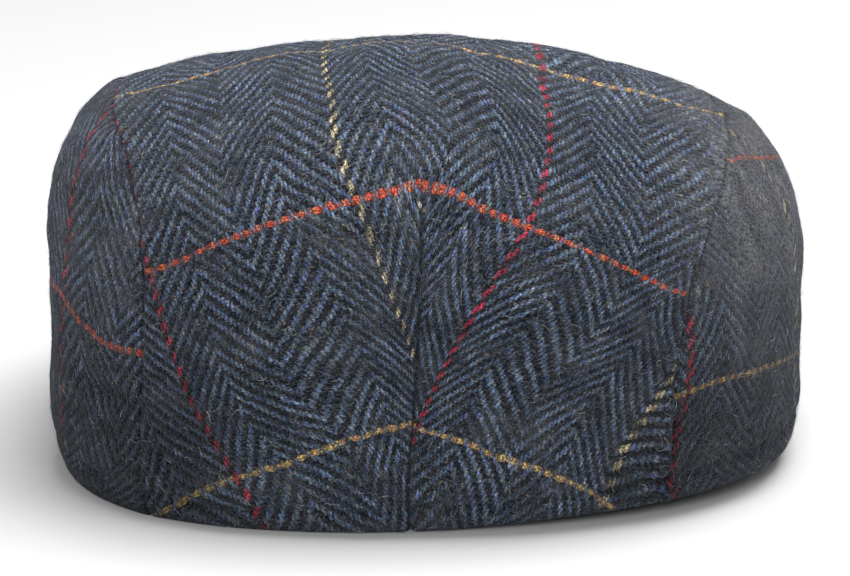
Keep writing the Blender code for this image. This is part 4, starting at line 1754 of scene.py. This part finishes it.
@dataclass
class Peak:
    """The stiff peak: a board covered in the same cloth, rounded along its edge."""

    form: CrownForm
    node: str = "peak"
    slot: str = "cloth_peak"
    cells_round: int = 150
    cells_deep: int = 30
    edge_steps: int = 8
    edge_radius: float = 0.0020
    tip_angle: float = 1.2
    tip_steps: int = 5
    tip_fullness: float = 0.05
    weld: float = 0.00002

    def angles(self) -> tuple[np.ndarray, np.ndarray]:
        """Angles of the sections, and how full each section is, closed round at both ends."""
        end = self.form.peak_end_angle
        inner = end + self.tip_angle
        turns = np.linspace(0.0, math.pi / 2, self.tip_steps + 1)[:-1]
        tip = end + self.tip_angle * (1.0 - np.cos(turns))
        full = np.maximum(np.sin(turns), self.tip_fullness)
        middle = np.linspace(inner, 360.0 - inner, self.cells_round + 1)
        angles = np.concatenate([tip, middle, 360.0 - tip[::-1]])
        fullness = np.concatenate([full, np.ones(len(middle)), full[::-1]])
        return angles[::-1], fullness[::-1]

    def section(self, angle: float, full: float) -> np.ndarray:
        """One closed section through the board.

        Args:
            angle: Angle from the centre back in degrees.
            full: Share of the board's size that the section has, under 1 near its tips.

        Returns:
            Points round the section, from the root over the top and back underneath.
        """
        root, edge = self.form.peak_root_reach, self.form.peak_edge_reach(angle)
        half = self.form.peak_thickness / 2
        corner = min(self.edge_radius, (edge - root) / 3)
        out = np.linspace(root + corner, edge - corner, self.cells_deep + 1)
        turn = np.linspace(math.pi / 2, -math.pi / 2, self.edge_steps + 1)[1:-1]
        reach = [out, edge - corner + corner * np.cos(turn), out[::-1]]
        lift = [np.full(len(out), half), half * np.sin(turn), np.full(len(out), -half)]
        reach.append(root + corner - corner * np.cos(turn[::-1]))
        lift.append(half * np.sin(turn[::-1]))
        reaches, lifts = np.concatenate(reach), np.concatenate(lift)
        centre = (root + edge) / 2
        reaches = centre + (reaches - centre) * full
        lifts = lifts * full
        under = np.array([self.form.peak_underside(angle, r) for r in np.clip(reaches, root, edge)])
        way = math.radians(angle)
        x, y = reaches * math.sin(way), self.form.crest_y + reaches * math.cos(way)
        return np.stack([x, y, under + half + lifts], axis=-1)

    def build(self) -> bpy.types.Object:
        """Model the board from a grid that is rolled round its sections and closed."""
        points = self.sections()
        points = np.concatenate([points, points[:, :1]], axis=1)
        grid = ClothGrid("peak_cloth", points)
        rise = np.abs(np.diff(points[..., 2], axis=1, prepend=points[:, :1, 2]))
        forwards = np.cumsum(rise, axis=1) - points[..., 1]
        grid.map_cloth([(0, np.stack([points[..., 0], forwards], axis=-1) / MM)])
        piece = grid.piece
        make_active(piece)
        bpy.ops.object.mode_set(mode="EDIT")
        bpy.ops.mesh.select_all(action="SELECT")
        bpy.ops.mesh.remove_doubles(threshold=self.weld)
        bpy.ops.mesh.select_all(action="DESELECT")
        bpy.ops.mesh.select_non_manifold()
        bpy.ops.mesh.fill_holes(sides=0)
        bpy.ops.mesh.select_all(action="SELECT")
        bpy.ops.mesh.normals_make_consistent(inside=False)
        bpy.ops.object.mode_set(mode="OBJECT")
        piece.data.shade_smooth()
        return piece

    def sections(self) -> np.ndarray:
        """Points of all sections through the board, from one tip to the other."""
        return np.array([self.section(angle, full) for angle, full in zip(*self.angles())])

    def surface(self) -> tuple[np.ndarray, np.ndarray]:
        """Points of the peak's upper face, and a blank chart of the same grid."""
        points = self.sections()[::-1, : self.cells_deep + self.edge_steps // 2]
        return points, np.zeros((*points.shape[:2], 2))

    def dress(self, piece: bpy.types.Object, finish: TweedFinish) -> None:
        """Give the peak its cloth and its place on the cap."""
        dress(piece, finish.material(), self.node)


@dataclass(frozen=True)
class Softbox:
    """A square soft light: where it hangs and its side in metres, and its power in watts."""

    name: str
    place: tuple[float, float, float]
    side: float
    power: float


SOFTBOXES = (
    Softbox("softbox_above", (-0.35, 0.0, 1.5), 1.1, 36.0),
    Softbox("softbox_right", (-1.2, 1.3, 1.4), 1.0, 2.0),
    Softbox("softbox_left", (1.3, 1.4, 1.3), 1.2, 1.0),
    Softbox("softbox_camera", (0.25, 2.0, 1.1), 0.7, 21.0),
)


@dataclass
class Studio:
    """A plain pale floor, soft light and the camera."""

    form: CrownForm
    elevation: float = 17.14
    roll: float = 0.6
    distance: float = 1.0
    lens: float = 149.59
    aim_from_crest: float = -0.02536
    aim_height: float = 0.0402
    sensor_width: float = 36.0
    floor_size: float = 12.0
    floor_tone: float = 0.64
    softbox_aim_height: float = 0.05
    sky_strength: float = 0.33

    def add_floor(self) -> None:
        """The floor under the cap."""
        make_active(None)
        bpy.ops.mesh.primitive_plane_add(size=self.floor_size, location=(0.0, 0.0, 0.0))
        floor = bpy.context.object
        floor.name = "floor"
        loom = Loom("pale_floor")
        loom.shade(
            {"Base Color": (self.floor_tone,) * 3, "Roughness": 0.9, "Specular IOR Level": 0.1}
        )
        floor.data.materials.append(loom.made)

    def add_softbox(self, softbox: Softbox) -> None:
        """Hang a softbox so that it faces the cap."""
        data = bpy.data.lights.new(softbox.name, "AREA")
        data.size = softbox.side
        data.energy = softbox.power
        light = bpy.data.objects.new(softbox.name, data)
        light.location = softbox.place
        aim = Vector((0.0, 0.0, self.softbox_aim_height)) - Vector(softbox.place)
        light.rotation_euler = aim.to_track_quat("-Z", "Y").to_euler()
        bpy.context.scene.collection.objects.link(light)

    def add_lights(self) -> None:
        """Soft light from above and from both sides of the camera, and a pale sky."""
        for softbox in SOFTBOXES:
            self.add_softbox(softbox)
        world = bpy.data.worlds.new("pale_sky")
        world.use_nodes = True
        sky = world.node_tree.nodes["Background"]
        sky.inputs["Color"].default_value = (1.0, 1.0, 1.0, 1.0)
        sky.inputs["Strength"].default_value = self.sky_strength
        bpy.context.scene.world = world
        bpy.context.scene.view_settings.view_transform = "Standard"

    def add_camera(self) -> None:
        """The camera behind the cap and a little above it."""
        rise = math.radians(self.elevation)
        back = Vector((0.0, math.cos(rise), math.sin(rise)))
        right = Vector((-1.0, 0.0, 0.0))
        up = back.cross(right)
        tilt = math.radians(self.roll)
        tilted_right = right * math.cos(tilt) - up * math.sin(tilt)
        tilted_up = up * math.cos(tilt) + right * math.sin(tilt)
        data = bpy.data.cameras.new("camera")
        data.sensor_width = self.sensor_width
        data.lens = self.lens
        camera = bpy.data.objects.new("camera", data)
        aim = Vector((0.0, self.form.crest_y + self.aim_from_crest, self.aim_height))
        turn = Matrix((tilted_right, tilted_up, back)).transposed().to_4x4()
        camera.matrix_world = Matrix.Translation(aim + back * self.distance) @ turn
        bpy.context.scene.collection.objects.link(camera)
        bpy.context.scene.camera = camera


def add_cloth(
    part: TweedPanel | Peak,
    finish: TweedFinish,
    fibres: LooseFibres,
    curls: Sequence[Curl] = (),
) -> None:
    """Add a piece of cloth with its loose fibres, and give both their looks.

    Args:
        part: The panel or the peak.
        finish: Its cloth.
        fibres: Its loose fibres.
        curls: Curls of pale fibre on it.
    """
    part.dress(part.build(), finish)
    piece = fibres.build(*part.surface(), curls)
    dress(piece, FibreFinish(fibres.name.removeprefix("loose_")).material())


def main() -> None:
    """Build the cap's looks piece by piece."""
    logging.basicConfig(level=logging.INFO, format="%(name)s: %(message)s")
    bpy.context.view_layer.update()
    form = CrownForm()
    studio = Studio(form)
    studio.add_camera()
    studio.add_floor()
    studio.add_lights()
    add_cloth(
        TopPanel(
            "crown_top_cloth", "crown_top", "cloth_top", form, TOP_LINES,
            edges=TOP_EDGES, folds=TOP_FOLDS,
        ),
        TweedFinish("tweed_top", matting=0.18, felt_and_sheen=0.50, right_felt_and_sheen=0.30),
        LooseFibres("loose_fibres_top", count=14000, seed=3),
        CURLS,
    )
    add_cloth(
        SidePanel(
            "side_left_cloth", "side_panel_left", "cloth_left", form, LEFT_LINES,
            seam_rows=LEFT_SEAM_ROWS, folds=LEFT_FOLDS,
        ),
        TweedFinish(
            "tweed_left", warp_line_ends=2.5, weft_line_swell=0.42, matting=0.24, felt_and_sheen=0.50
        ),
        LooseFibres("loose_fibres_left", count=5000, seed=5),
    )
    add_cloth(
        SidePanel(
            "side_right_cloth", "side_panel_right", "cloth_right", form, RIGHT_LINES,
            seam_rows=RIGHT_SEAM_ROWS, edges=RIGHT_EDGES,
        ),
        TweedFinish(
            "tweed_right", warp_line_ends=2.5, weft_line_swell=0.42, weft_line_cover=1.0,
            matting=0.26, felt_and_sheen=0.50, right_felt_and_sheen=0.30,
        ),
        LooseFibres("loose_fibres_right", count=6000, seed=7),
    )
    add_cloth(
        Peak(form), TweedFinish("tweed_peak"), LooseFibres("loose_fibres_peak", count=2500, seed=11)
    )


if __name__ == "__main__":
    main()
